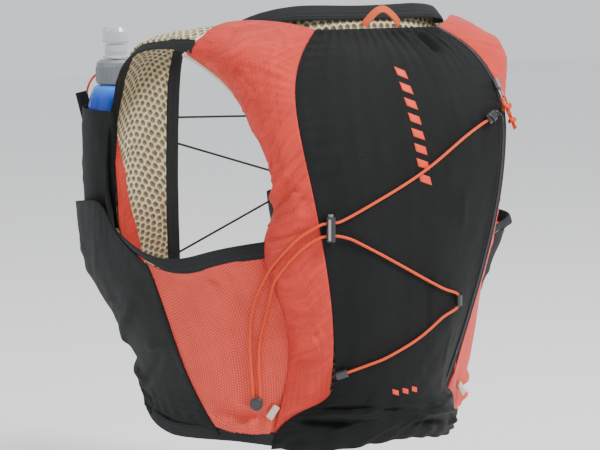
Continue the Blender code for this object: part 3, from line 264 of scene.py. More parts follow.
CHEST_CORDS = {
    "upper": ((0.0650, -0.1230, 0.2555), (-0.0650, -0.1230, 0.2520)),
    "middle": ((0.0650, -0.1240, 0.2345), (-0.0650, -0.1240, 0.1950)),
    "lower": ((0.0650, -0.1225, 0.1280), (-0.0650, -0.1235, 0.1820)),
}
CHEST_STOP_LONG = 0.0080
SLIDER_LONG, LUG_LONG = 0.0085, 0.0030
LINK_LONG, LINK_WIRE = 0.0080, 0.0006
FLASK_AXIS = (0.1035, -0.1500)
FLASK_TURN = math.radians(14.5)
FLASK_WIDE, FLASK_DEEP = 0.029, 0.0255
CAP_RADIUS = 0.01795
CAP_GRIP = (0.2885, 0.3010)             # the heights of its ridges' ends
FLASK_RIBS = ((0.3245, 0.0117, "valve"), (0.3145, 0.0103, "cap"))   # height, radius and body
FLASK_PROFILE = [(0.0, 0.2855), (0.60, 0.2855), (0.76, 0.2835), (0.85, 0.2755), (0.95, 0.262),
                 (1.0, 0.240), (0.98, 0.185), (0.91, 0.156), (0.82, 0.136), (0.72, 0.126),
                 (0.56, 0.1215), (0.0, 0.121)]
RETAINER = [(0.1135, -0.1867, 0.2582), (0.1142, -0.1868, 0.2690), (0.1150, -0.1835, 0.2790),
            (0.1145, -0.1780, 0.2870), (0.1110, -0.1740, 0.2930), (0.1020, -0.1745, 0.2950),
            (0.0910, -0.1700, 0.2930), (0.0820, -0.1650, 0.2840), (0.0765, -0.1645, 0.2755),
            (0.0735, -0.1665, 0.2695)]
POCKET_TAB_AT = (0.1135, -0.1867, 0.2520)
SIDE_TAB_AT = (0.0960, 0.1010, 0.0270)
HANG_LOOP_WIDTH = 0.0062
HANG_LOOP = [(0.0200, 0.1225, 0.3460), (0.0175, 0.1245, 0.3500), (0.0120, 0.1270, 0.3570),
             (0.0050, 0.1285, 0.3610), (-0.0040, 0.1270, 0.3560), (-0.0125, 0.1245, 0.3495),
             (-0.0155, 0.1225, 0.3460)]


# ---------------------------------------------------------------- camera, light and floor
def placed(name, data, at=None, facing=None):
    """A new object; given a place, it stands there with its -Z axis along facing."""
    obj = bpy.data.objects.new(name, data)
    bpy.context.scene.collection.objects.link(obj)
    if at is not None:
        obj.location = at
        obj.rotation_mode = "QUATERNION"
        obj.rotation_quaternion = facing.to_track_quat("-Z", "Y")
    return obj


def camera():
    """A long lens at the vest's back left, a little above it."""
    azimuth, elevation, distance = math.radians(147), math.radians(7), 2.2
    back = Vector((math.sin(azimuth) * math.cos(elevation),
                   -math.cos(azimuth) * math.cos(elevation), math.sin(elevation)))
    right = Vector((math.cos(azimuth), math.sin(azimuth), 0.0))
    look_at = Vector((0.0, 0.0, 0.166 - SHOULDER)) - right * 0.0026
    data = bpy.data.cameras.new("camera")
    data.lens = 150
    data.sensor_width = 36
    bpy.context.scene.camera = placed("camera", data, look_at + back * distance, -back)
    return back, right


def lights(back, right):
    """Soft boxes in front of, beside and above the vest, and a pale surround."""
    world = bpy.data.worlds.new("studio")
    world.use_nodes = True
    world.node_tree.nodes["Background"].inputs["Color"].default_value = (0.95, 0.97, 1.0, 1)
    world.node_tree.nodes["Background"].inputs["Strength"].default_value = 0.95
    bpy.context.scene.world = world
    up = Vector((0, 0, 1))
    boxes = (("key_light", back * 1.1 + right * 1.5 + up * 1.6, 0.6, 78),
             ("fill_light", back * 1.6 - right * 1.5 + up * 0.5, 1.2, 4),
             ("top_light", up * 2.0 - back * 0.3, 1.2, 16))
    for name, place, size, watts in boxes:
        data = bpy.data.lights.new(name, "AREA")
        data.size = size
        data.energy = watts
        placed(name, data, place, Vector((0, 0, -0.15)) - place)


def floor():
    data = bpy.data.meshes.new("floor")
    low = CAD_BOUNDS[0].z - FLOOR_DROP
    data.from_pydata([(-6, -6, low), (6, -6, low), (6, 6, low), (-6, 6, low)], [], [(0, 1, 2, 3)])
    obj = placed("floor", data)
    look = bpy.data.materials.new("floor")
    look.use_nodes = True
    shader = look.node_tree.nodes["Principled BSDF"]
    shader.inputs["Base Color"].default_value = (0.93, 0.93, 0.93, 1)
    shader.inputs["Roughness"].default_value = 0.9
    data.materials.append(look)


# ---------------------------------------------------------------- surfaces
def between(table, z):
    """The value at height z in a table of (height, value) steps."""
    for (low, a), (high, b) in zip(table, table[1:]):
        if z < high:
            return a + (b - a) * max(z - low, 0.0) / (high - low)
    return table[-1][1]


def splay(x, y, z):
    """How far the right side stands out beyond the left: its front flares, its side tucks in."""
    sideways = min(max((x - 0.115) / 0.040, 0.0), 1.0)
    front = min(max((0.030 - y) / 0.035, 0.0), 1.0) * min(max((y + 0.110) / 0.060, 0.0), 1.0)
    side = min(max((y - 0.010) / 0.030, 0.0), 1.0)
    return sideways * (front * between(FLARE, z) - side * between(TUCK, z))


def flip(points, sign):
    if sign > 0:
        return [tuple(point) for point in points]
    return [(-x - splay(x, y, z), y, z) for x, y, z in points]


def flipped(rows, sign):
    return [flip(row, sign) for row in rows]


def whole(half, centre):
    return half + [centre] + flip(half, -1)[::-1]


def crowned(a, b, columns, bulge):
    """A row of points from a to b that swells by bulge away from the wearer."""
    a, b = Vector(a), Vector(b)
    out = Vector((b.y - a.y, a.x - b.x, 0.0)).normalized()
    if out.dot(Vector((a.x + b.x, a.y + b.y, 0.0))) < 0.0:
        out = -out
    row = []
    for k in range(columns):
        t = k / (columns - 1)
        row.append(tuple(a.lerp(b, t) + out * (4.0 * bulge * t * (1.0 - t))))
    return row


def spline_matrix(count, samples):
    """How a cubic B-spline with fixed ends weighs its control points at each sample."""
    weights = np.zeros((samples, count))
    for i, t in enumerate(np.linspace(0, count - 1, samples)):
        k = min(int(t), count - 2)
        f = t - k
        basis = ((1 - f) ** 3 / 6, (3 * f ** 3 - 6 * f ** 2 + 4) / 6,
                 (-3 * f ** 3 + 3 * f ** 2 + 3 * f + 1) / 6, f ** 3 / 6)
        for offset, share in zip((-1, 0, 1, 2), basis):
            n = k + offset
            if n < 0:
                weights[i, 0] += 2 * share
                weights[i, 1] -= share
            elif n > count - 1:
                weights[i, count - 1] += 2 * share
                weights[i, count - 2] -= share
            else:
                weights[i, n] += share
    return weights


def surface(rows, step):
    """A smooth grid of points over a cage, about step apart, in the row frame."""
    cage = np.array(rows, float) - np.array([0, 0, SHOULDER])
    along = np.linalg.norm(np.diff(cage, axis=0), axis=2).sum(0).mean()
    across = np.linalg.norm(np.diff(cage, axis=1), axis=2).sum(1).mean()
    down = spline_matrix(cage.shape[0], max(9, int(along / step)))
    over = spline_matrix(cage.shape[1], max(9, int(across / step)))
    return np.einsum("ia,abk,jb->ijk", down, cage, over)


def unit(vectors):
    return vectors / (np.linalg.norm(vectors, axis=-1, keepdims=True) + 1e-12)


def normals_of(grid, heart=(0.0, 0.0)):
    """Unit normals of a grid, pointing away from an upright line through heart."""
    n = unit(np.cross(np.gradient(grid, axis=1), np.gradient(grid, axis=0)))
    away = grid - np.array([heart[0], heart[1], 0])
    away[:, :, 2] = 0
    return -n if (n * away).sum() < 0 else n


def distances(path):
    """How far along a line each of its points lies."""
    return np.concatenate([[0], np.cumsum(np.linalg.norm(np.diff(path, axis=0), axis=1))])


def lengths(grid):
    """Each grid point's distance along its row and up its column, in metres."""
    u = np.zeros(grid.shape[:2])
    v = np.zeros(grid.shape[:2])
    u[:, 1:] = np.cumsum(np.linalg.norm(np.diff(grid, axis=1), axis=2), axis=1)
    v[1:] = np.cumsum(np.linalg.norm(np.diff(grid, axis=0), axis=2), axis=0)
    middle = u[:, -1:].mean()
    u = u - u[:, -1:] / 2 + middle / 2
    return u, v


def ripple(u, v, size, seed):
    """Smooth noise from -1 to 1 with features about size across."""
    rng = np.random.default_rng(seed)
    table = rng.uniform(-1, 1, (64, 64))
    x, y = u / size, v / size
    i, j = np.floor(x).astype(int), np.floor(y).astype(int)
    fx, fy = x - i, y - j
    fx, fy = fx * fx * (3 - 2 * fx), fy * fy * (3 - 2 * fy)
    a, b = table[i % 64, j % 64], table[(i + 1) % 64, j % 64]
    c, d = table[i % 64, (j + 1) % 64], table[(i + 1) % 64, (j + 1) % 64]
    return (a * (1 - fx) + b * fx) * (1 - fy) + (c * (1 - fx) + d * fx) * fy


def fold(u, v, start, end, wide, high):
    """A soft ridge, or a groove if high is negative, between two points of the cloth."""
    p, q = np.array(start), np.array(end)
    way = q - p
    long = np.linalg.norm(way) + 1e-9
    du, dv = u - p[0], v - p[1]
    along = (du * way[0] + dv * way[1]) / long
    aside = (du * way[1] - dv * way[0]) / long
    bend = 0.12 * long * np.sin(np.pi * np.clip(along / long, 0, 1))
    near = np.exp(-((aside + bend * 0.4) / wide) ** 2)
    taper = np.clip(along / (0.3 * long), 0, 1) * np.clip((long - along) / (0.3 * long), 0, 1)
    return high * near * taper * taper * (3 - 2 * taper)


def gathers(u, edge, pitch, reach, high, seed):
    """Puckers across a seam that fade out over reach from it; edge is the distance to it."""
    phase = 2.2 * ripple(u, edge * 0.5, pitch * 2.2, seed)
    strength = 0.5 + 0.5 * ripple(u, edge * 0.3, pitch * 4.0, seed + 1)
    return high * strength * np.exp(-edge / reach) * np.sin(2 * np.pi * u / pitch + phase)


def mesh_of(name, verts, faces, uvs=None):
    mesh = bpy.data.meshes.new(name)
    mesh.from_pydata([tuple(vert) for vert in verts], [], faces)
    if uvs is not None:
        layer = mesh.uv_layers.new(name="cloth")
        layer.data.foreach_set("uv", np.asarray(uvs, float).ravel())
    return mesh


def grid_mesh(name, grid, heart):
    """A mesh over a grid of points that faces away from heart, with UVs in metres."""
    rows, columns = grid.shape[:2]
    index = np.arange(rows * columns).reshape(rows, columns)
    quads = np.stack([index[:-1, :-1], index[:-1, 1:], index[1:, 1:], index[1:, :-1]], axis=2)
    quads = quads.reshape(-1, 4)
    n = np.cross(grid[0, 1] - grid[0, 0], grid[1, 0] - grid[0, 0])
    if (n * normals_of(grid, heart)[0, 0]).sum() < 0:
        quads = quads[:, ::-1]
    uvs = np.stack([each.ravel() for each in lengths(grid)], axis=1)[quads.ravel()]
    return mesh_of(name, grid.reshape(-1, 3).tolist(), quads.tolist(), uvs)


# ---------------------------------------------------------------- materials
class Look:
    """A material in the making, with a short call for each kind of node.

    Values are sockets or plain numbers, colours are sockets or (red, green, blue), and share
    is a multiple of the look's own colour.
    """

    def __init__(self, name, colour, rough, cloth=False, sheen=0.0, metallic=0.0, coat=0.0,
                 shine=0.5):
        self.material = bpy.data.materials.new(name)
        self.material.use_nodes = True
        self.tree = self.material.node_tree
        self.shader = self.tree.nodes["Principled BSDF"]
        self.colour = colour
        self.set(("Base Color", (*colour, 1.0)), ("Roughness", rough), ("Metallic", metallic),
                 ("Sheen Weight", sheen), ("Sheen Roughness", 0.4), ("Coat Weight", coat),
                 ("Specular IOR Level", shine))
        if cloth:       # the cloth's own place, in metres: across it, and along it
            self.place = self.node("UVMap").outputs[0]
            self.place.node.uv_map = "cloth"
            self.u, self.v, _ = self.node("SeparateXYZ", (0, self.place)).outputs
        else:
            self.place = self.node("TexCoord").outputs["Object"]

    def set(self, *pairs):
        for socket, value in pairs:
            self.shader.inputs[socket].default_value = value

    def node(self, kind, *inputs):
        node = self.tree.nodes.new(f"ShaderNode{kind}")
        self.feed(node, *inputs)
        return node

    def feed(self, node, *inputs):
        for socket, value in inputs:
            if isinstance(value, tuple):
                node.inputs[socket].default_value = (*value, 1.0)
            elif isinstance(value, (int, float)):
                node.inputs[socket].default_value = value
            else:
                self.tree.links.new(value, node.inputs[socket])

    def calc(self, operation, *values):
        node = self.node("Math", *enumerate(values))
        node.operation = operation
        return node.outputs[0]

    def add(self, a, b):
        return self.calc("ADD", a, b)

    def less(self, a, b):
        return self.calc("SUBTRACT", a, b)

    def times(self, a, b):
        return self.calc("MULTIPLY", a, b)

    def mix(self, factor, a, b):
        node = self.tree.nodes.new("ShaderNodeMix")
        node.data_type = "RGBA"
        node.clamp_factor = True
        self.feed(node, ("Factor", factor), (6, a), (7, b))
        return node.outputs[2]

    def over(self, base, factor, share):
        return self.mix(factor, base, shade(self.colour, share))

    def between(self, factor, low, high):
        return self.mix(factor, shade(self.colour, low), shade(self.colour, high))

    def step(self, value, low, high):
        """0 below low and 1 above high, smooth between them."""
        node = self.node("MapRange", ("Value", value), ("From Min", low), ("From Max", high))
        node.interpolation_type = "SMOOTHSTEP"
        return node.outputs[0]

    def noise(self, size, detail=2.0, roughness=0.5, at=None):
        return self.node("TexNoise", ("Scale", 1.0 / size), ("Detail", detail),
                         ("Roughness", roughness), ("Vector", at or self.place)).outputs["Fac"]

    def wave(self, value, pitch):
        """A sine from -1 to 1 that repeats every pitch."""
        return self.calc("SINE", self.times(value, 2 * math.pi / pitch))

    def lattice(self, u, v, pitch_u, pitch_v):
        """Distance, in metres, to the nearest point of a staggered pattern of dots."""
        row = self.calc("FLOOR", self.calc("DIVIDE", v, pitch_v))
        odd = self.times(self.calc("MODULO", self.calc("ABSOLUTE", row), 2.0), 0.5)
        x = self.calc("FRACT", self.add(self.calc("DIVIDE", u, pitch_u), odd))
        y = self.calc("FRACT", self.calc("DIVIDE", v, pitch_v))
        dx, dy = self.times(self.less(x, 0.5), pitch_u), self.times(self.less(y, 0.5), pitch_v)
        return self.calc("SQRT", self.add(self.times(dx, dx), self.times(dy, dy)))

    def done(self, base, *layers, rough=None):
        """Set the colour, the roughness and a stack of heights, each with its depth in metres."""
        self.tree.links.new(base, self.shader.inputs["Base Color"])
        if rough:
            value, spread, least = rough
            self.tree.links.new(self.add(self.times(value, spread), least),
                                self.shader.inputs["Roughness"])
        last = None
        for height, depth in layers:
            node = self.node("Bump", ("Distance", depth), ("Strength", 1.0), ("Height", height))
            if last is not None:
                self.tree.links.new(last, node.inputs["Normal"])
            last = node.outputs[0]
        self.tree.links.new(last, self.shader.inputs["Normal"])
        return self.material


def shade(colour, share):
    return tuple(min(1.0, c * share) for c in colour)


def ripstop(name, colour):
    """Thin, slightly shiny woven cloth with a raised thread every few millimetres."""
    m = Look(name, colour, 0.5, cloth=True, sheen=0.05, shine=0.16)
    lines = []
    for way in (m.u, m.v):
        near = m.less(m.calc("FRACT", m.calc("DIVIDE", way, RIPSTOP_PITCH)), 0.5)
        lines.append(m.step(m.calc("ABSOLUTE", near), 0.40, 0.5))
    grid = m.calc("MAXIMUM", *lines)
    weave = m.times(m.wave(m.u, 0.0007), m.wave(m.v, 0.0007))
    patch, thread = m.noise(0.030, 3.0), m.noise(0.0012)
    # Squeezed along u, so that the creases run that way.
    drawn_out = m.node("CombineXYZ", (0, m.times(m.u, 0.10)), (1, m.v)).outputs[0]
    creases = m.noise(0.0050, 3.0, at=drawn_out)
    base = m.between(m.step(patch, 0.3, 0.7), 0.88, 1.06)
    # Painted shade in the creases' hollows and a painted highlight on their ridges, from the same
    # noise that gives their bump.
    base = m.over(base, m.step(creases, 0.52, 0.30), 0.80)
    base = m.over(base, m.step(creases, 0.56, 0.74), 1.18)
    base = m.over(base, m.times(grid, 0.60), 1.50)
    base = m.over(base, m.times(thread, 0.30), 0.70)
    return m.done(base, (weave, 0.00006), (grid, 0.00024), (creases, 0.0008),
                  (m.noise(0.006, 3.0), 0.0004), rough=(patch, 0.18, 0.40))


def stretch(name, colour):
    """Matt black stretch cloth with a fine diagonal twill."""
    m = Look(name, colour, 0.62, cloth=True, sheen=0.02, shine=0.14)
    twill = m.wave(m.add(m.u, m.times(m.v, 0.6)), 0.0011)
    cross = m.wave(m.v, 0.0016)
    patch, flecks = m.noise(0.040, 3.0), m.noise(0.0009)
    base = m.between(m.step(patch, 0.3, 0.7), 0.82, 1.15)
    base = m.over(base, m.times(m.step(twill, 0.0, 1.0), 0.45), 1.7)
    base = m.over(base, m.times(flecks, 0.30), 0.5)
    return m.done(base, (twill, 0.00010), (cross, 0.00005), (m.noise(0.005), 0.0004),
                  rough=(patch, 0.16, 0.54))


def ribbed_tape(name, colour):
    """Elastic edge tape: fine ribs across it and fainter ones along it."""
    m = Look(name, colour, 0.72, cloth=True, sheen=0.02, shine=0.12)
    ribs, lengthways = m.wave(m.u, 0.0010), m.wave(m.v, 0.0012)
    patch = m.noise(0.015, 3.0)
    base = m.between(m.step(ribs, -0.4, 1.0), 0.70, 1.45)
    base = m.over(base, m.times(patch, 0.4), 0.75)
    return m.done(base, (ribs, 0.00012), (lengthways, 0.00008), (patch, 0.0004))


def spacer_mesh(name, light, dark):
    """Knitted spacer mesh: staggered round cells like bowls, with light walls between them, painted
    shade in the cells and a painted highlight round their rims.
    """
    m = Look(name, light, 0.85, cloth=True, sheen=0.05, shine=0.10)
    away = m.lattice(m.u, m.v, *MESH_PITCH)
    away = m.add(away, m.times(m.less(m.noise(0.004), 0.5), 0.0007))
    rim = m.step(away, MESH_HOLE * 0.72, MESH_HOLE * 1.12)
    bowl = m.step(away, 0.0, MESH_HOLE * 1.2)
    knit = m.times(m.wave(m.u, 0.0008), m.wave(m.v, 0.0010))
    fuzz, patch = m.noise(0.0010, 3.0), m.noise(0.035)
    # Painted shade: the bottoms of the cells take the dark colour, with fuzz through it.
    shaded_cell = m.mix(fuzz, shade(dark, 0.45), shade(dark, 1.10))
    wall = m.between(m.times(fuzz, 0.7), 0.98, 0.66)
    base = m.mix(m.step(away, MESH_HOLE * 0.50, MESH_HOLE * 1.05), shaded_cell, wall)
    # A painted highlight: a lighter ring round each cell's rim.
    lit_rim = m.less(m.step(away, MESH_HOLE * 0.75, MESH_HOLE),
                  m.step(away, MESH_HOLE * 1.12, MESH_HOLE * 1.5))
    base = m.over(base, m.times(lit_rim, 0.8), 1.3)
    base = m.mix(m.times(patch, 0.25), base, shade(dark, 0.9))
    return m.done(base, (rim, 0.0011), (bowl, 0.0022), (knit, 0.00012), (fuzz, 0.0003))


def perforated(name, colour):
    """Coral knit: plain beside the front seam, with rows of fine holes over the rest."""
    m = Look(name, colour, 0.6, cloth=True, sheen=0.05, shine=0.12)
    away = m.lattice(m.v, m.u, 0.0024, 0.0022)
    hole = m.less(1.0, m.step(away, 0.00030, 0.00060))
    hole = m.times(hole, m.step(m.u, *HOLES_START))
    ribs, patch = m.wave(m.u, 0.0019), m.noise(0.025, 3.0)
    base = m.between(m.step(patch, 0.3, 0.7), 0.90, 1.05)
    light = tuple(0.45 * c + 0.55 * w for c, w in zip(colour, LINING_COLOUR))
    base = m.mix(m.times(hole, 0.65), base, light)
    base = m.over(base, m.times(m.noise(0.001), 0.25), 0.75)
    return m.done(base, (m.times(hole, -1.0), 0.0003), (ribs, 0.00008),
                  (m.noise(0.006, 3.0), 0.0005))


def braid(name, colour):
    """Braided elastic: crossing diagonal strands round the cord."""
    m = Look(name, colour, 0.55, cloth=True, sheen=0.05, shine=0.2)
    slanted = m.times(m.v, 1.2)
    strands = m.calc("MAXIMUM", m.wave(m.add(m.u, slanted), BRAID_PITCH),
                     m.wave(m.less(m.u, slanted), BRAID_PITCH))
    fuzz = m.noise(0.0006)
    base = m.between(m.step(strands, -0.2, 0.9), 0.62, 1.12)
    base = m.over(base, m.times(fuzz, 0.3), 0.8)
    return m.done(base, (strands, 0.00016), (fuzz, 0.0001))


def moulded(name, colour, rough, coat=0.0, clear=0.0):
    """Moulded plastic with a faint grain and uneven gloss; clear is how much light passes."""
    m = Look(name, colour, rough, coat=coat)
    patch = m.noise(0.010)
    m.set(("Transmission Weight", clear), ("IOR", 1.42))
    return m.done(m.between(patch, 0.85, 1.15), (m.noise(0.0012, 3.0), 0.00004),
                  rough=(patch, 0.14, rough - 0.07))


def brushed(name, colour):
    m = Look(name, colour, 0.32, metallic=1.0)
    streaks = m.noise(0.0008, 4.0, 0.7)
    return m.done(m.between(streaks, 0.6, 1.3), (streaks, 0.00005), rough=(streaks, 0.25, 0.22))


def flask_film(name, blue, clear):
    """Soft flask film: blue where it is full, clear and hazy above the filling."""
    m = Look(name, blue, 0.22, coat=0.2, shine=0.35)
    level = FLASK_FILLED - SHOULDER
    height = m.node("SeparateXYZ", (0, m.place)).outputs[2]
    above = m.step(m.add(height, m.times(m.noise(0.012), 0.003)), level, level + 0.012)
    cloudy = m.noise(0.008, 3.0)
    m.set(("Transmission Weight", 0.25), ("IOR", 1.35))
    return m.done(m.mix(above, m.between(cloudy, 0.75, 1.25), clear), (cloudy, 0.0008),
                  (m.noise(0.0015), 0.00005))


# Each look's material, and its slot name.
LOOKS = {
    "coral": (ripstop("coral_ripstop", (0.68, 0.052, 0.036)), "coral_ripstop"),
    "perforated": (perforated("coral_perforated", (0.70, 0.066, 0.045)), "coral_ripstop"),
    "black": (stretch("black_stretch", (0.0080, 0.0086, 0.0086)), "black_stretch"),
    "tape": (ribbed_tape("black_tape", (0.024, 0.0255, 0.0265)), "black_binding"),
    # The spacer mesh's second colour is the painted shade in its cells.
    "mesh": (spacer_mesh("beige_spacer", (0.99, 0.83, 0.53), (0.40, 0.29, 0.16)),
             "beige_spacer_mesh"),
    "orange": (braid("orange_braid", (0.80, 0.085, 0.025)), "orange_cord"),
    "webbing": (ribbed_tape("orange_webbing", (0.80, 0.12, 0.05)), "orange_cord"),
    "black_cord": (braid("black_braid", (0.022, 0.022, 0.024)), "black_moulding"),
    "beige": (ribbed_tape("beige_tab", (0.66, 0.56, 0.44)), "beige_spacer_mesh"),
    "print": (moulded("coral_print", (0.72, 0.055, 0.018), 0.55), "orange_cord"),
    "hard": (moulded("black_plastic", (0.018, 0.018, 0.020), 0.28, 0.5), "black_moulding"),
    "smoke": (moulded("smoke_plastic", (0.24, 0.26, 0.275), 0.24, 0.5, 0.35), "smoke_plastic"),
    "clear": (moulded("clear_silicone", (0.70, 0.75, 0.79), 0.20, 0.4, 0.45), "clear_silicone"),
    "metal": (brushed("zip_metal", (0.42, 0.42, 0.43)), "zip_metal"),
    "film": (flask_film("flask_film", (0.006, 0.095, 0.70), (0.05, 0.26, 0.86)), "blue_flask"),
    "black_thread": (moulded("black_thread", (0.045, 0.047, 0.05), 0.6), "black_binding"),
    "teeth": (moulded("zip_teeth", (0.035, 0.036, 0.038), 0.35, 0.3), "black_binding"),
}


def added(name, mesh, look, body="vest", node=None):
    """A new piece over a mesh: its look, its body, and the CAD node it stands for."""
    material, slot = LOOKS[look]
    mesh.materials.append(material)
    mesh.shade_smooth()
    obj = placed(name, mesh)
    if body:
        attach(obj, body)
    if node:
        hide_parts(node)
    return obj


# ---------------------------------------------------------------- cloth panels
def fractions(grid):
    """Where each grid point lies across and along its panel, in metres of mean size."""
    u, v = lengths(grid)
    wide, long = u[:, -1].mean() - u[:, 0].mean(), v[-1].mean()
    s = np.linspace(0, 1, grid.shape[1])[None, :] * wide * np.ones((grid.shape[0], 1))
    t = np.linspace(0, 1, grid.shape[0])[:, None] * long * np.ones((1, grid.shape[1]))
    return s, t, wide, long


def dressed(rows, seed, heart=(0.0, 0.0), step=0.0018, slack=0.0006, puckers=(), folds=(),
            drape=1.0, calm=0.006):
    """A panel's grid with its slack, puckers along chosen edges and given folds.

    puckers are (edge, pitch, reach, height) with edge one of start, end, low and high; folds
    are (from, to, width, height) with places as shares across and along the panel. drape
    multiplies the heights of both, and they die out within calm of the edges.
    """
    grid = surface(rows, step)
    n = normals_of(grid, heart)
    s, t, wide, long = fractions(grid)
    high = slack * ripple(s, t, 0.035, seed) + slack * 0.5 * ripple(s, t, 0.014, seed + 7)
    edges = {"start": (t, s), "end": (t, wide - s), "low": (s, t), "high": (s, long - t)}
    for number, (edge, pitch, reach, size) in enumerate(puckers):
        along, away = edges[edge]
        high = high + gathers(along, away, pitch, reach, size * drape, seed + 20 + number)
    for a, b, width, size in folds:
        start, end = (a[0] * wide, a[1] * long), (b[0] * wide, b[1] * long)
        high = high + fold(s, t, start, end, width, size * drape)
    rim = np.minimum.reduce([s, wide - s, t, long - t])
    high = high * np.clip(rim / calm, 0, 1)
    return grid + n * high[:, :, None]


def tucked(grid, edge, reach, depth, heart):
    """The grid with one edge carried on under its neighbour, as a seam allowance."""
    across, backwards = edge in ("start", "end"), edge in ("low", "start")
    n = normals_of(grid, heart)
    if across:
        grid, n = grid.transpose(1, 0, 2), n.transpose(1, 0, 2)
    if backwards:
        grid, n = grid[::-1], n[::-1]
    way = unit(grid[-1] - grid[-4])
    more = [grid[-1] + way * reach * share - n[-1] * depth * share ** 0.5
            for share in (0.25, 0.6, 1.0)]
    grid = np.concatenate([grid, np.array(more)])
    if backwards:
        grid = grid[::-1]
    return grid.transpose(1, 0, 2) if across else grid


def sewn(node, grid, look, thick=CLOTH, heart=(0.0, 0.0)):
    """A cloth panel over a finished grid, in place of its CAD solid."""
    name = f"{node}_cloth"
    obj = added(name, grid_mesh(name, grid, heart), look, node=node)
    shell = obj.modifiers.new("thickness", "SOLIDIFY")
    shell.thickness = thick
    shell.offset = 0.0
    shell.use_even_offset = False
    _, _, wide, long = fractions(grid)
    return obj


def panel(node, rows, look, seed, thick=CLOTH, tucks=(), heart=(0.0, 0.0), **how):
    """A cloth panel over a cage of points, and its grid as it is before its edges are tucked."""
    grid = full = dressed(rows, seed, heart, **how)
    for edge, reach, depth in tucks:
        full = tucked(full, edge, reach, depth, heart)
    return sewn(node, full, look, thick, heart), grid


def scatter(seed, count, box, angle, spread, long, width, high):
    """Random short folds in part of a panel, given as shares across and along it."""
    rng = np.random.default_rng(seed)
    made = []
    for _ in range(count):
        x = rng.uniform(box[0], box[2])
        y = rng.uniform(box[1], box[3])
        turn = math.radians(angle + rng.uniform(-spread, spread))
        half = long * rng.uniform(0.6, 1.3) / 2
        dx, dy = half * math.cos(turn), half * math.sin(turn)
        size = high * rng.uniform(0.5, 1.2) * (1 if rng.random() < 0.6 else -0.8)
        made.append(((x - dx, y - dy), (x + dx, y + dy), width * rng.uniform(0.7, 1.3), size))
    return made


def swell(edge, crown, shares):
    """A row across the back, from an edge to the middle, that swells to crown there."""
    return [(edge[0] * k, edge[1] + (crown - edge[1]) * (1.0 - k * k), edge[2]) for k in shares]


def shell_rows():
    rows = [whole(row[:3], row[3]) for row in SHELL_FOOT]
    for edge, crown in zip(YOKE_SEAM, SHELL_CROWN):
        row = swell(edge, crown, (1.0, 2 / 3, 1 / 3, 0.0, -1 / 3, -2 / 3))
        rows.append([*row, (ZIP_WIDTH - edge[0], edge[1] + 0.001, edge[2])])
    return rows


def lining_rows():
    rows = []
    for edge, crown in zip(LINING_EDGE, LINING_CROWN):
        rows.append(whole(swell(edge, crown, (1.0, 0.7, 0.35)), (0.0, crown, edge[2])))
    return rows + [whole(LINING_TOP[:3], LINING_TOP[3])]


def yoke_rows(full):
    """The yoke's cage; full is the share of its bulge between the seams."""
    rows = [[YOKE_HEEL, *YOKE_FOOT, YOKE_EDGE[0]]]
    for seam, edge, bulge in zip(YOKE_SEAM[1:7], YOKE_EDGE[1:7], YOKE_BULGE[1:]):
        rows.append(crowned(seam, edge, 5, bulge * full))
    return rows + [[YOKE_SEAM[7], *YOKE_BLADE, YOKE_EDGE[7]],
                   [YOKE_SEAM[8], *YOKE_RIDGE, YOKE_EDGE[8]], [YOKE_SEAM[9], *YOKE_TOP]]


def side_rows():
    return [SIDE_TOP] + [crowned(front, back, 5, bulge) for front, back, bulge in zip(
        SIDE_FRONT, SIDE_BACK, SIDE_BULGE)]


def flask_pocket_rows():
    (cx, cy), rows = POCKET_HEART, []
    for height, share in POCKET_ROWS:
        rows.append([(cx + (x - cx) * share, cy + (y - cy) * share, height)
                     for x, y in POCKET_ROUND])
    return rows


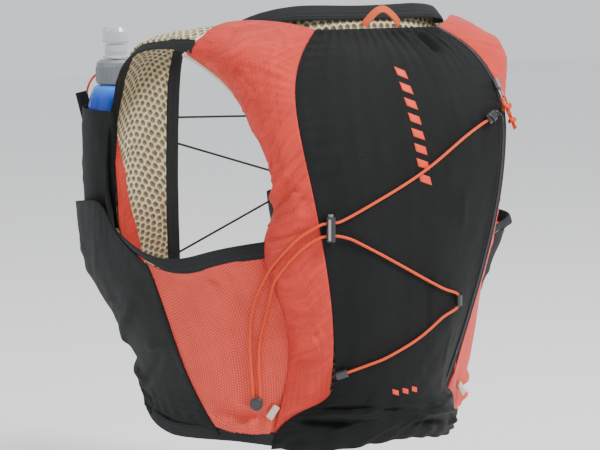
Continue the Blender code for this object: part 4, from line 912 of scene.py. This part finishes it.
def back_panels():
    shell, _ = panel(
        "back_shell", shell_rows(), "black", 3, slack=0.0007, drape=2.1,
        tucks=(("low", 0.004, 0.0006), ("end", 0.008, 0.0016)),
        puckers=[("start", 0.011, 0.010, 0.0007), ("end", 0.009, 0.008, 0.0006),
                 ("high", 0.010, 0.022, 0.0012), ("low", 0.019, 0.018, 0.0009)],
        folds=[((0.70, 0.985), (0.74, 0.90), 0.0035, -0.0022),
               ((0.76, 0.985), (0.785, 0.89), 0.0030, 0.0018),
               ((0.82, 0.985), (0.82, 0.91), 0.0030, -0.0020),
               ((0.66, 0.985), (0.67, 0.93), 0.0028, 0.0013),
               ((0.04, 0.13), (0.42, 0.105), 0.0048, 0.0028),
               ((0.02, 0.10), (0.30, 0.070), 0.0042, -0.0026),
               ((0.05, 0.165), (0.34, 0.15), 0.0050, -0.0016),
               ((0.55, 0.09), (0.95, 0.06), 0.0045, 0.0022),
               ((0.50, 0.05), (0.80, 0.03), 0.0040, -0.0018),
               ((0.03, 0.50), (0.10, 0.57), 0.004, 0.0012),
               ((0.05, 0.62), (0.16, 0.70), 0.004, 0.0010)]
        + scatter(5, 16, (0.02, 0.02, 0.98, 0.16), 8, 18, 0.16, 0.0035, 0.0013)
        + scatter(6, 18, (0.02, 0.18, 0.98, 0.9), 70, 35, 0.10, 0.005, 0.0005))
    panel("back_lining", lining_rows(), "mesh", 11, tucks=(("high", 0.010, 0.0),),
          thick=MESH_PAD, slack=0.0008, step=0.0024, puckers=[("high", 0.020, 0.020, 0.0008)])
    made = {}
    for side, sign in SIDES:
        rows = flipped(yoke_rows(1.0 if sign > 0 else 0.45), sign)
        made[f"yoke_{side}"], grid = panel(
            f"yoke_{side}", rows, "coral", 31 + sign, slack=0.0009,
            drape=1.05 if sign > 0 else 0.6, calm=0.014, tucks=(("low", 0.008, 0.0018),),
            puckers=[("start", 0.0085, 0.016, 0.0013),
                     ("high", 0.009, 0.010, 0.0007), ("low", 0.010, 0.014, 0.0012)],
            folds=[((0.98, 0.78), (0.42, 0.90), 0.0026, 0.0032),
                   ((0.98, 0.73), (0.48, 0.82), 0.0034, -0.0022),
                   ((0.97, 0.68), (0.40, 0.72), 0.0034, 0.0020),
                   ((0.97, 0.84), (0.50, 0.965), 0.0036, -0.0020),
                   ((0.05, 0.78), (0.50, 0.80), 0.0036, 0.0016),
                   ((1.02, 0.430), (0.10, 0.560), 0.0025, 0.0036),
                   ((1.02, 0.410), (0.12, 0.500), 0.0024, -0.0030),
                   ((1.02, 0.390), (0.05, 0.440), 0.0024, 0.0038),
                   ((1.02, 0.370), (0.10, 0.390), 0.0022, -0.0026),
                   ((1.02, 0.455), (0.30, 0.610), 0.0028, -0.0022),
                   ((0.90, 0.17), (0.10, 0.14), 0.0030, 0.0030),
                   ((0.92, 0.12), (0.15, 0.10), 0.0034, -0.0024),
                   ((0.94, 0.22), (0.08, 0.20), 0.0028, -0.0022)]
            + scatter(40 + sign, 34, (0.05, 0.05, 0.95, 0.62), 4, 16, 0.22, 0.0028, 0.0012)
            + scatter(50 + sign, 22, (0.05, 0.62, 0.95, 0.97), 12, 25, 0.22, 0.0028, 0.0012))
        upper = grid[int(grid.shape[0] * 0.45):]
        way = unit(upper[:, -1] - upper[:, -4])
        tube(f"yoke_lining_edge_{side}", upper[:, -1] + way * 0.0024, 0.0034, "beige", sides=8)
        made[f"side_panel_{side}"], _ = panel(
            f"side_panel_{side}", flipped(side_rows(), sign), "perforated", 61 + sign,
            slack=0.0007, drape=1.5, calm=0.012,
            tucks=(("end", 0.007, 0.0018), ("start", 0.004, 0.0016), ("high", 0.005, 0.0024)),
            puckers=[("start", 0.009, 0.008, 0.0006), ("end", 0.008, 0.009, 0.0007),
                     ("high", 0.008, 0.026, 0.0008)],
            folds=[((0.10, 0.90), (0.85, 0.93), 0.0036, 0.0028),
                   ((0.15, 0.84), (0.92, 0.87), 0.0034, -0.0020),
                   ((0.30, 0.78), (0.95, 0.82), 0.0032, 0.0016),
                   ((0.55, 0.04), (0.62, 0.22), 0.0030, -0.0012),
                   ((0.72, 0.03), (0.70, 0.20), 0.0028, 0.0010)]
            + scatter(70 + sign, 10, (0.1, 0.72, 0.95, 0.97), 6, 14, 0.35, 0.003, 0.0010))
    return shell, made["yoke_left"], made["side_panel_left"]


def wedge(grid, sign):
    """The coral wedge on the inside of a front panel, from a slanting line to the armhole."""
    rows = []
    for row, out in zip(grid, normals_of(grid)):
        height = row[-1, 2] + SHOULDER
        if not WEDGE_LINE[-1][0] < height < WEDGE_LINE[0][0]:
            continue
        inner = between([(-h, x) for h, x in WEDGE_LINE], -height)
        x = row[:, 0] * sign
        order = np.argsort(x)
        share = np.linspace(0, 1, 22)
        at = np.linspace(min(inner, x.max() - 0.001), x.max(), len(share))
        place, away = [np.stack([np.interp(at, x[order], values[order, k]) for k in range(3)],
                                axis=1) for values in (row, out)]
        beyond = unit(row[order[-1]] - row[order[-4]])
        place += share[:, None] ** 2 * 0.003 * beyond
        rows.append(place - away * (MESH_PAD / 2 + 0.0012))
    made = np.array(rows)
    s, t, wide, long = fractions(made)
    high = 0.0009 * ripple(s, t, 0.02, 97)
    for a, b, width, size in (((0.75, 0.98), (0.20, 0.35), 0.0028, 0.0020),
                              ((0.95, 0.85), (0.50, 0.25), 0.0024, -0.0012)):
        high += fold(s, t, (a[0] * wide, a[1] * long), (b[0] * wide, b[1] * long), width, size)
    high *= np.clip(np.minimum(s, wide - s) / 0.004 + 0.1, 0, 1)
    return made - normals_of(made) * high[:, :, None]


def front_panels():
    for side, sign in SIDES:
        _, grid = panel(
            f"front_panel_{side}", flipped(FRONT, sign), "mesh", 81 + sign,
            thick=MESH_PAD, tucks=(("low", 0.010, 0.0016),), slack=0.0009, step=0.0024,
            puckers=[("start", 0.018, 0.014, 0.0007), ("end", 0.016, 0.014, 0.0008)],
            folds=[((0.2, 0.42), (0.9, 0.47), 0.006, -0.002),
                   ((0.2, 0.30), (0.8, 0.27), 0.006, 0.0014)])
        sewn(f"front_gusset_{side}", wedge(grid, sign), "coral")


def pockets():
    for side, sign in SIDES:
        panel(f"flask_pocket_{side}", flipped(flask_pocket_rows(), sign), "black", 101 + sign,
              heart=(sign * POCKET_HEART[0], POCKET_HEART[1]),
              tucks=(("start", 0.020, 0.0),), slack=0.0008, puckers=[("low", 0.008, 0.02, 0.0008)],
              folds=[((0.1, 0.3), (0.5, 0.36), 0.004, 0.0014),
                     ((0.3, 0.5), (0.8, 0.46), 0.004, -0.0012)]
              + scatter(110 + sign, 14, (0.05, 0.05, 0.95, 0.7), 5, 20, 0.25, 0.004, 0.0010))
        panel(f"lower_pocket_{side}", flipped(LOWER_POCKET, sign), "black", 121 + sign,
              slack=0.0010,
              tucks=(("high", 0.010, 0.0010), ("start", 0.003, 0.0004)),
              puckers=[("low", 0.016, 0.010, 0.0006), ("high", 0.013, 0.016, 0.0010),
                       ("start", 0.009, 0.010, 0.0008), ("end", 0.009, 0.010, 0.0008)],
              folds=[((0.10, 0.30), (0.45, 0.62), 0.0050, 0.0030),
                     ((0.16, 0.24), (0.55, 0.50), 0.0046, -0.0026),
                     ((0.30, 0.55), (0.75, 0.60), 0.0050, 0.0028),
                     ((0.35, 0.66), (0.80, 0.72), 0.0044, -0.0024),
                     ((0.25, 0.76), (0.70, 0.80), 0.0044, 0.0024),
                     ((0.05, 0.55), (0.30, 0.80), 0.0044, -0.0020)]
              + scatter(130 + sign, 26, (0.04, 0.15, 0.96, 0.95), 12, 22, 0.20, 0.004, 0.0014))


# ---------------------------------------------------------------- tapes, stitches and tubes
def sweep(name, rings, look, u_steps, body="vest", node=None):
    """A closed tube skinned over rings of points; UVs run along it and round it, in metres."""
    rings = np.asarray(rings, float)
    count, around = rings.shape[:2]
    girth = np.linalg.norm(np.roll(rings[0], -1, axis=0) - rings[0], axis=1).sum() / around
    faces, uvs = [], []
    for i in range(count - 1):
        a, b = u_steps[i], u_steps[i + 1]
        for k in range(around):
            here, there = i * around, (i + 1) * around
            m = (k + 1) % around
            faces.append((here + k, here + m, there + m, there + k))
            uvs += [(a, k * girth), (a, (k + 1) * girth), (b, (k + 1) * girth), (b, k * girth)]
    faces.append(tuple(range(around))[::-1])
    faces.append(tuple((count - 1) * around + k for k in range(around)))
    uvs += [(0.0, 0.0)] * (2 * around)
    mesh = mesh_of(name, rings.reshape(-1, 3).tolist(), faces, uvs)
    shape = bmesh.new()
    shape.from_mesh(mesh)
    bmesh.ops.recalc_face_normals(shape, faces=shape.faces)
    shape.to_mesh(mesh)
    shape.free()
    obj = added(name, mesh, look, body, node)
    mesh.set_sharp_from_angle(angle=math.radians(50))
    return obj


def tube(name, points, diameter, look, sides=10, body="vest", node=None):
    """A round cord along points, with slightly rounded ends."""
    path = np.array([tuple(p) for p in points], float)
    ways = unit(np.gradient(path, axis=0))
    side = np.cross(ways[0], [0.3, 0.2, 0.93])
    rings = []
    angles = np.linspace(0, 2 * np.pi, sides, endpoint=False)
    for k, (point, way) in enumerate(zip(path, ways)):
        side = unit(side - way * (side @ way))
        other = np.cross(way, side)
        radius = diameter / 2 * (0.72 if k in (0, len(path) - 1) else 1.0)
        rings.append(point + radius * (np.cos(angles)[:, None] * side
                                       + np.sin(angles)[:, None] * other))
    return sweep(name, rings, look, distances(path), body, node)


def hoop(place, count, cosine, sine):
    """A closed ring of points: place times one vector's cosine part and another's sine part."""
    turns = [2 * math.pi * k / count for k in range(count + 1)]
    return [place @ (Vector(cosine) * math.cos(a) + Vector(sine) * math.sin(a)) for a in turns]


def stitch_line(name, points, outs, look, pitch=0.0030, share=0.68, radius=0.00026, lift=0.0001,
                across=None):
    """A row of separate stitches along points, lying on the cloth whose outside is outs.

    Each is a five-sided spindle that fills share of the pitch; across turns it over the line
    and gives its length.
    """
    path, outs = np.array(points, float), np.array(outs, float)
    run = distances(path)
    verts, faces = [], []
    for k in range(int(run[-1] / pitch)):
        ends = []
        for t in ((k + 0.5 - share / 2) * pitch, (k + 0.5) * pitch, (k + 0.5 + share / 2) * pitch):
            point = np.array([np.interp(t, run, path[:, a]) for a in range(3)])
            out = np.array([np.interp(t, run, outs[:, a]) for a in range(3)])
            ends.append((point, unit(out)))
        (a, na), (m, nm), (b, nb) = ends
        way = unit(b - a)
        if across is not None:
            way = np.cross(nm, way)
            a, b = m - way * across / 2, m + way * across / 2
            na = nb = nm
        side = np.cross(nm, way)
        base = len(verts)
        verts.append(a - na * radius * 0.5)
        for centre, size in ((a * 0.82 + b * 0.18, 0.8), (m, 1.0), (a * 0.18 + b * 0.82, 0.8)):
            for q in range(5):
                c, s = math.cos(math.tau * q / 5), math.sin(math.tau * q / 5)
                verts.append(centre + nm * (lift + radius * size * (0.4 + c))
                             + side * radius * size * s)
        verts.append(b - nb * radius * 0.5)
        for q in range(5):
            r = (q + 1) % 5
            for i in (base + 1, base + 6):
                faces.append((i + q, i + r, i + 5 + r, i + 5 + q))
            faces.append((base, base + 1 + r, base + 1 + q))
            faces.append((base + 16, base + 11 + q, base + 11 + r))
    return added(name, mesh_of(name, verts, faces), look)


def carried_on(line, far):
    """A line made a little longer at both ends, so that it ends under its neighbours."""
    line = [Vector(point) for point in line]
    first = line[0] + (line[0] - line[1]).normalized() * far
    last = line[-1] + (line[-1] - line[-2]).normalized() * far
    return [tuple(point) for point in (first, *line[1:-1], last)]


def tape(node, rim, seam, far=0.004):
    """Edge tape folded over the cloth: a soft closed section swept from end to end."""
    grid = surface([[a, b] for a, b in zip(carried_on(rim, far), carried_on(seam, far))], 0.003)
    edge, inner = grid[:, 0], grid[:, -1]
    out = normals_of(grid)[:, 0]
    run = distances(edge)
    wobble = 0.00035 * ripple(run, run * 0, 0.012, len(node))
    rings = []
    for k in range(len(edge)):
        way = inner[k] - edge[k]
        wide = np.linalg.norm(way)
        way = way / wide
        wide += 0.0016
        ring = []
        for angle in np.linspace(0, 2 * np.pi, 14, endpoint=False):
            c, s = math.cos(angle), math.sin(angle)
            along = 0.5 + 0.5 * math.copysign(abs(c) ** 0.55, c)
            full = 1.0 - 0.30 * along ** 2 - 0.18 * math.exp(-((along - SEWN_AT) / 0.05) ** 2)
            up = math.copysign(abs(s) ** 0.75, s) * BAND / 2 * full
            ring.append(edge[k] + way * along * wide + out[k] * (up + wobble[k]))
        rings.append(ring)
    sweep(f"{node}_tape", rings, "tape", run, node=node)
    line = edge + (inner - edge) * SEWN_AT
    for face, way in (("out", 1), ("in", -1)):
        stitch_line(f"{node}_stitch_{face}", line + out * way * (BAND * 0.33), out * way,
                    "black_thread")


def tapes():
    tape("neck_binding", whole(NECK_RIM, NECK_BACK_RIM), whole(NECK_SEAM, NECK_BACK_SEAM))
    front_seam = [row[0] for row in FRONT]
    narrow, wide = FRONT_BAND_WIDTH
    front_rim = [(x - narrow - (wide - narrow) * min(k / 6, 1.0), y, z)
                 for k, (x, y, z) in enumerate(front_seam)]
    hem_rim = [(x, y, z - HEM_DROP) for x, y, z in HEM_SEAM]
    for side, sign in SIDES:
        tape(f"front_binding_{side}", flip(front_rim, sign), flip(front_seam, sign))
        tape(f"armhole_binding_{side}", flip(ARMHOLE_RIM, sign), flip(ARMHOLE_SEAM, sign),
             far=0.010)
        tape(f"hem_binding_{side}", flip(hem_rim, sign), flip(HEM_SEAM, sign))


# ---------------------------------------------------------------- places and small pieces
def frame_of(at, along, out):
    """A place and two directions as a matrix: x along, y out of the cloth, z across both."""
    along = Vector(along).normalized()
    out = Vector(out)
    out = (out - along * out.dot(along)).normalized()
    matrix = Matrix((along, out, along.cross(out))).transposed().to_4x4()
    matrix.translation = Vector(at)
    return matrix


def lowered(point):
    """A point given by its height above the hem, in the frame's own place."""
    x, y, z = point
    return Vector((x, y, z - SHOULDER))


def through(points, step):
    """A smooth line through the points, as closely spaced points."""
    points = [Vector(point) for point in points]
    ends = [points[0] * 2 - points[1], *points, points[-1] * 2 - points[-2]]
    line = []
    for a, b, c, d in zip(ends, ends[1:], ends[2:], ends[3:]):
        count = max(2, round((c - b).length / step))
        for k in range(count):
            t = k / count
            line.append(0.5 * (2 * b + (c - a) * t + (2 * a - 5 * b + 4 * c - d) * t * t
                               + (3 * b - a - 3 * c + d) * t ** 3))
    line.append(points[-1])
    return line


def outside_of(*cloths):
    """What a ray from outside meets: each cloth's finished surface."""
    depsgraph = bpy.context.evaluated_depsgraph_get()
    return [BVHTree.FromObject(cloth, depsgraph) for cloth in cloths]


def dropped(point, trees):
    """The nearest cloth from outside at a point, as a place and its outward direction."""
    out = Vector((point.x, point.y - 0.03, 0.0)).normalized()
    start = point + out * 0.06
    best = None
    for tree in trees:
        place, normal, _, away = tree.ray_cast(start, -out)
        if place is not None and (best is None or away < best[0]):
            best = (away, place, normal if normal.dot(out) > 0 else -normal, out)
    return best


def on_cloth(points, trees, lift):
    """Drop points onto the outside of the cloths and raise them by lift; skip seam gaps."""
    laid = []
    for point in points:
        best = dropped(point, trees)
        if best is not None:
            laid.append(best[1] + (best[2] + best[3]).normalized() * lift)
    return laid


def eased(line, turns):
    """The line with its inner points averaged with their neighbours."""
    for _ in range(turns):
        middle = [(a + b * 2 + c) / 4 for a, b, c in zip(line, line[1:], line[2:])]
        line = [line[0], *middle, line[-1]]
    return line


def even(line, step):
    """The same line with points at even distances."""
    path = np.array([tuple(p) for p in line])
    run = distances(path)
    keep = np.concatenate([[True], np.diff(run) > 1e-7])
    path, run = path[keep], run[keep]
    at = np.linspace(0, run[-1], max(3, round(run[-1] / step)))
    return [Vector([float(np.interp(t, run, path[:, k])) for k in range(3)]) for t in at]


def held_cord(name, node, line, diameter, look, body="vest"):
    """A cord along a line, in place of its CAD solid."""
    obj = tube(f"{name}_cord", line, diameter, look, sides=12, body=body, node=node)


def keep(look, *nodes):
    """These CAD nodes stay as they are and take a finer material."""
    for node in nodes:
        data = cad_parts[node].data
        data.materials.clear()
        data.materials.append(LOOKS[look][0])


def soft_block(node, matrix, size, look, sag):
    """A small folded piece of cloth: a rounded block whose free end sags outwards."""
    shape = bmesh.new()
    bmesh.ops.create_cube(shape, size=1.0)
    bmesh.ops.scale(shape, vec=size, verts=shape.verts)
    bmesh.ops.bevel(shape, geom=shape.edges[:], offset=min(size) * 0.42, segments=3,
                    affect="EDGES", profile=0.5)
    bmesh.ops.subdivide_edges(shape, edges=[e for e in shape.edges if e.calc_length() > 0.003],
                              cuts=4, use_grid_fill=True)
    for vert in shape.verts:
        share = vert.co.x / size[0] + 0.5
        vert.co.y += sag * share * share + 0.0003 * math.sin(vert.co.z * 900 + share * 4)
    shape.transform(matrix)
    mesh = bpy.data.meshes.new(f"{node}_cloth")
    shape.to_mesh(mesh)
    shape.free()
    added(f"{node}_cloth", mesh, look, node=node)


# ---------------------------------------------------------------- cords, lock and zip
def bungee(shell, yoke, side):
    """One elastic: hook, lock, down the loose tail and back, lock, loop and anchor."""
    back = outside_of(shell)
    around = outside_of(shell, yoke, side)
    out = Vector(LOCK_OUT).normalized()
    lock = frame_of(lowered(LOCK_AT) + out * LOCK_RISE, LOCK_ALONG, out)
    spots = [lock @ Vector((0.0, 0.0, -sign * CORD_SPREAD)) for sign in (1, -1)]
    above, below = sorted(spots, key=lambda spot: -spot.z)
    step = (lock.to_3x3() @ Vector((1.0, 0.0, 0.0))).normalized()

    def laid(points, trees, lift=CORD_LIFT):
        return eased(on_cloth(through([lowered(p) for p in points], 0.004), trees, lift), 10)

    first = on_cloth([lowered(p) for p in BUNGEE_UPPER], back, CORD_LIFT)
    way = (first[0] - first[1]).normalized()
    hook_out = Vector(HOOK_OUT).normalized()
    hook = frame_of(first[0] + way * 0.004 + hook_out * 0.0020, -way, hook_out)
    start = hook @ Vector((-0.0048, 0.0, 0.0))
    tail = laid(BUNGEE_TAIL, around, TAIL_LIFT)
    again = laid(BUNGEE_RETURN, around, TAIL_LIFT)
    low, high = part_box("cord_end")
    end_out = Vector(CORD_END_OUT).normalized()
    end = frame_of((low + high) / 2 - end_out * 0.0004, (0.0, 0.0, 1.0), end_out)
    turn = hoop(end @ Matrix.Translation((-0.0001, -0.0007, 0.0)), 16,
                (0.0, 0.0, TURN_RADIUS), (-TURN_RADIUS, 0.0, 0.0))[:9]
    if (turn[0] - tail[-1]).length > (turn[-1] - tail[-1]).length:
        turn = turn[::-1]
    rise = Vector((0.0, 0.0, 0.0035))
    loop_out = Vector(LOOP_OUT).normalized()
    loop = frame_of(lowered(LOOP_AT) + loop_out * 0.0040, (0.0, 0.0, 1.0), loop_out)
    way = (Vector(ANCHOR_AT) - Vector(BUNGEE_FOOT[-1])).normalized()
    anchor_out = Vector(ANCHOR_OUT).normalized()
    anchor = frame_of(lowered(ANCHOR_AT) + anchor_out * 0.0034, -way, anchor_out)
    line = [start, hook.translation, *laid(BUNGEE_UPPER, back)]
    line += [above + step * x for x in (-0.0065, -0.0035, 0.0035, 0.0065)]
    line += [*tail, turn[0] + rise, *turn, turn[-1] + rise, *again]
    line += [below + step * x for x in (0.0065, 0.0035, -0.0035, -0.0065)]
    line += laid(BUNGEE_LOWER, back)
    line += [loop @ Vector((x, 0.0, 0.0)) for x in (0.0058, 0.0030, -0.0030, -0.0058)]
    line += [*laid(BUNGEE_FOOT, back), anchor.translation, anchor @ Vector((-0.0048, 0.0, 0.0))]
    line = even(eased(even(line, 0.0016), 8), 0.0016)
    held_cord("bungee", "bungee", line, CORD, "orange")
    keep("hard", "cord_hook_upper", "cord_loop", "cord_anchor_lower", "cord_lock_body", "cord_end")
    for number, (shift, radius) in enumerate(((-0.0043, 0.0046), (-0.0143, 0.0034))):
        band = hoop(hook @ Matrix.Translation((shift, 0.0, 0.0)), 24,
                    (0.0, radius * 0.7, 0.0), (0.0022, 0.0, radius))
        tube(f"cord_hook_band_{number}", band, 0.0013, "hard", sides=8)
    keep("smoke", "cord_lock_button")
    # A thin metal strip down the lock's side, put there as a painted highlight for the bright
    # reflection along that side.
    shine = frame_of(lowered(LOCK_AT) + out * LOCK_RISE, (0.0, 0.0, 1.0), out)
    section = ((0.0036, -0.0022), (0.0036, -0.0006), (0.0030, -0.0004), (0.0024, -0.0030))
    plate = [[shine @ Vector((x, y, z)) for y, z in section]
             for x in (-0.0085, -0.0080, 0.0080, 0.0085)]
    sweep("cord_lock_highlight_plate", plate, "metal", (0.0, 0.001, 0.017, 0.018))
    face = frame_of((low + high) / 2 + end_out * 0.0022, (0.0, 0.0, 1.0), end_out)
    rim = hoop(face, 32, (0.0043, 0.0, 0.0), (0.0, 0.0, 0.0043))
    tube("cord_end_rim", rim, 0.0014, "hard", sides=8)


def chest_cords():
    for name, (left, right) in CHEST_CORDS.items():
        left, right = lowered(left), lowered(right)
        way = (right - left).normalized()
        inset = CHEST_STOP_LONG / 2 - 0.0046
        line = even([left + way * inset, right - way * inset], 0.004)
        held_cord(f"chest_{name}", f"chest_cord_{name}", line, THIN_CORD, "black_cord")
        keep("hard", f"chest_stop_{name}_left", f"chest_stop_{name}_right")


def knot(name, matrix, size):
    """An overhand knot pulled tight."""
    line = []
    for k in range(61):
        t = 2 * math.pi * k / 60
        spot = Vector((-math.sin(3 * t) * 0.9, (math.cos(t) - 2 * math.cos(2 * t)) * 0.72,
                       math.sin(t) + 2 * math.sin(2 * t)))
        line.append(matrix @ (spot * size))
    return tube(name, line, size * 1.75, "orange", sides=9, body="zip_puller")


def zip_and_pull():
    rows = []
    for x, y, z in YOKE_SEAM:
        rows.append([(-x, y, z), (-x + ZIP_WIDTH * 0.5, y + 0.0006, z), (-x + ZIP_WIDTH, y, z)])
    _, grid = panel("zip_tape", rows, "tape", 141, slack=0.0, step=0.002)
    n = normals_of(grid)
    middle = grid.shape[1] // 2
    stitch_line("zip_teeth", grid[:, middle] + n[:, middle] * 0.0006, n[:, middle], "teeth",
                pitch=0.00105, share=0.6, radius=0.00046, lift=0.0002, across=0.0030)
    for column, name in ((1, "outer"), (-2, "inner")):
        stitch_line(f"zip_stitch_{name}", grid[:, column] + n[:, column] * 0.0005,
                    n[:, column], "black_thread", pitch=0.0028)
    keep("metal", "zip_slider", "zip_puller")
    down = Vector(YOKE_SEAM[6]) - Vector(YOKE_SEAM[7])
    down.x = -down.x
    matrix = frame_of(lowered(SLIDER_AT), down, SLIDER_OUT)
    hinge = matrix @ Matrix.Translation((SLIDER_LONG / 2 + LUG_LONG / 2 + 0.0002, 0.0, 0.0))
    bend = LINK_WIRE + THIN_CORD / 2 + 0.0004
    arc = hoop(Matrix.Translation((LINK_LONG, 0.0, 0.0)), 16, (0.0, bend, 0.0),
               (-bend, 0.0, 0.0))[:9]
    fall = (hinge.to_3x3().inverted() @ Vector((-0.30, 0.30, -1.0))).normalized()
    first = arc[4] + Vector((0.0095, 0.0, 0.0))
    second = first + fall * 0.0125
    tip = second + fall * 0.0080
    sides = []
    for half in (arc[:5][::-1], arc[4:]):
        off = Vector((0.0, half[-1].y, 0.0))
        sides.append([*half, half[-1] + Vector((0.003, 0.0, 0.0)), first + off * 0.30,
                      first + fall * 0.005 + off * 0.55, second + off * 0.30,
                      tip + off * 0.7 + Vector((0.0, 0.0, off.y * 0.5))])
    knots = [knot("zip_pull_knot_upper", hinge @ frame_of(first, (1, 0, 0), (0, 1, 0)), 0.0016),
             knot("zip_pull_knot_lower", hinge @ frame_of(second, (1, 0, 0), (0, 1, 0)), 0.0013)]
    for name, half in zip(("front", "back"), sides):
        line = even(through([hinge @ spot for spot in half], 0.001), 0.0010)
        held_cord(f"zip_pull_{name}", "zip_pull_cord", line, PULL_CORD, "orange",
                  "zip_puller")


# ---------------------------------------------------------------- flasks and details
def flask_skin(side, sign):
    """The soft bottle: an oval turned shape with creases where the film is slack."""
    heights = np.array([h for _, h in FLASK_PROFILE])[::-1]
    radii = np.array([r for r, _ in FLASK_PROFILE])[::-1]
    run = distances(np.stack([radii * 0.03, heights], axis=1))
    at = np.linspace(0, run[-1], 90)
    z = np.interp(at, run, heights)
    r = np.interp(at, run, radii)
    for _ in range(3):
        r[1:-1] = (r[:-2] + 2 * r[1:-1] + r[2:]) / 4
        z[1:-1] = (z[:-2] + 2 * z[1:-1] + z[2:]) / 4
    angles = np.linspace(0, 2 * np.pi, 72, endpoint=False)
    turn = sign * FLASK_TURN
    rings = []
    for height, radius in zip(z, r):
        neck = math.exp(-((height - 0.268) / 0.012) ** 2) + math.exp(-((height - 0.14) / 0.02) ** 2)
        crease = 1 + 0.012 * neck * np.sin(angles * 9 + 3 * np.sin(angles * 2)) + 0.006 * np.sin(
            angles * 4 + height * 160)
        x = FLASK_WIDE * radius * np.cos(angles) * crease
        y = FLASK_DEEP * radius * np.sin(angles) * crease
        rings.append(np.stack([sign * FLASK_AXIS[0] + x * math.cos(turn) - y * math.sin(turn),
                               FLASK_AXIS[1] + x * math.sin(turn) + y * math.cos(turn),
                               np.full_like(x, height - SHOULDER)], axis=1))
    sweep(f"flask_skin_{side}", rings, "film", at, f"flask_{side}", f"flask_body_{side}")


def cap_grip(side, centre):
    """Thirty-six upright ridges round the flask's cap."""
    verts, faces = [], []
    for k in range(36):
        angle = 2 * math.pi * k / 36
        out = Vector((math.cos(angle), math.sin(angle), 0.0))
        along = Vector((-out.y, out.x, 0.0))
        i = len(verts)
        for z in CAP_GRIP:
            for across, depth in ((-0.0006, -0.0003), (0.0, 0.00035), (0.0006, -0.0003)):
                place = centre + out * CAP_RADIUS + along * across + out * depth
                verts.append((place.x, place.y, z - SHOULDER))
        faces += [(i, i + 1, i + 4, i + 3), (i + 1, i + 2, i + 5, i + 4)]
    name = f"cap_grip_{side}"
    added(name, mesh_of(name, verts, faces), "smoke", f"cap_{side}")


def flasks():
    for side, sign in SIDES:
        flask_skin(side, sign)
        keep("smoke", f"flask_cap_{side}")
        keep("clear", f"valve_spout_{side}", f"bite_valve_{side}")
        centre = Vector((sign * FLASK_AXIS[0], FLASK_AXIS[1], 0.0))
        for number, (height, radius, body) in enumerate(FLASK_RIBS):
            place = Matrix.Translation(centre + Vector((0.0, 0.0, height - SHOULDER)))
            tube(f"flask_rib_{side}_{number}", hoop(place, 40, (radius, 0, 0), (0, radius, 0)),
                 0.0009, "clear", sides=8, body=f"{body}_{side}")
        cap_grip(side, centre)
        line = even(through([lowered(p) for p in flip(RETAINER, sign)], 0.003), 0.0020)
        elastic = tube(f"flask_retainer_{side}_cord", line, THIN_CORD, "orange", body=None,
                       node=f"flask_retainer_{side}")
        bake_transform(elastic)


def tabs_and_loop():
    middle = [Vector(point) for point in HANG_LOOP]
    rows = []
    for k, point in enumerate(middle):
        ahead = middle[min(k + 1, 6)] - middle[max(k - 1, 0)]
        side = ahead.cross(Vector((0.0, 1.0, 0.35))).normalized() * HANG_LOOP_WIDTH / 2
        rows.append([tuple(point - side), tuple(point), tuple(point + side)])
    panel("hang_loop", rows, "webbing", 151, thick=0.0013, slack=0.0, step=0.0012)
    for side, sign in SIDES:
        at = lowered(flip([SIDE_TAB_AT], sign)[0])
        out = Vector((sign * 0.44, 0.88, -0.18)).normalized()
        tab = frame_of(at + out * 0.0030, (sign * 0.62, -0.34, -1.0), out)
        soft_block(f"side_tab_{side}", tab, (0.0125, 0.0024, 0.0062), "beige", 0.0015)
        spot = lowered(flip([POCKET_TAB_AT], sign)[0])
        lean = frame_of(spot + Vector((sign * 0.002, -0.001, 0.012)), (sign * 0.22, -0.12, 1.0),
                        (sign * -0.4, -0.9, 0.0))
        soft_block(f"pocket_tab_{side}", lean, (0.0270, 0.0020, 0.0110), "tape", -0.0030)


def motif(shell):
    """Slanted bars printed down the back and three short ones near the hem."""
    trees = outside_of(shell)
    bars = [(0.0060 - 0.0085 * k / 7, 0.3080 - 0.0860 * k / 7, 0.0105, 0.0070, 0.35)
            for k in range(8)]
    bars += [(0.0150 - 0.0095 * k, 0.0440 + 0.0005 * k, 0.0062, 0.0045, 0.30) for k in range(3)]
    verts, faces = [], []
    for x, z, wide, tall, slant in bars:
        base = len(verts)
        for i, j in itertools.product(range(5), range(5)):
            across, up = (j / 4 - 0.5) * wide, (i / 4 - 0.5) * tall
            spot = Vector((x + across + up * 0.2, 0.17, z + up + across * slant - SHOULDER))
            _, place, out, _ = dropped(spot, trees)
            verts.append(place + out * 0.00018)
        for i, j in itertools.product(range(4), range(4)):
            a = base + i * 5 + j
            faces.append((a, a + 1, a + 6, a + 5))
    obj = added("back_motif", mesh_of("back_motif", verts, faces), "print")
    obj.modifiers.new("ink", "SOLIDIFY").thickness = 0.00016


# ---------------------------------------------------------------- the vest
back, right = camera()
lights(back, right)
floor()
shell, yoke, side_panel = back_panels()
bungee(shell, yoke, side_panel)
chest_cords()
front_panels()
pockets()
tapes()
zip_and_pull()
flasks()
tabs_and_loop()
motif(shell)
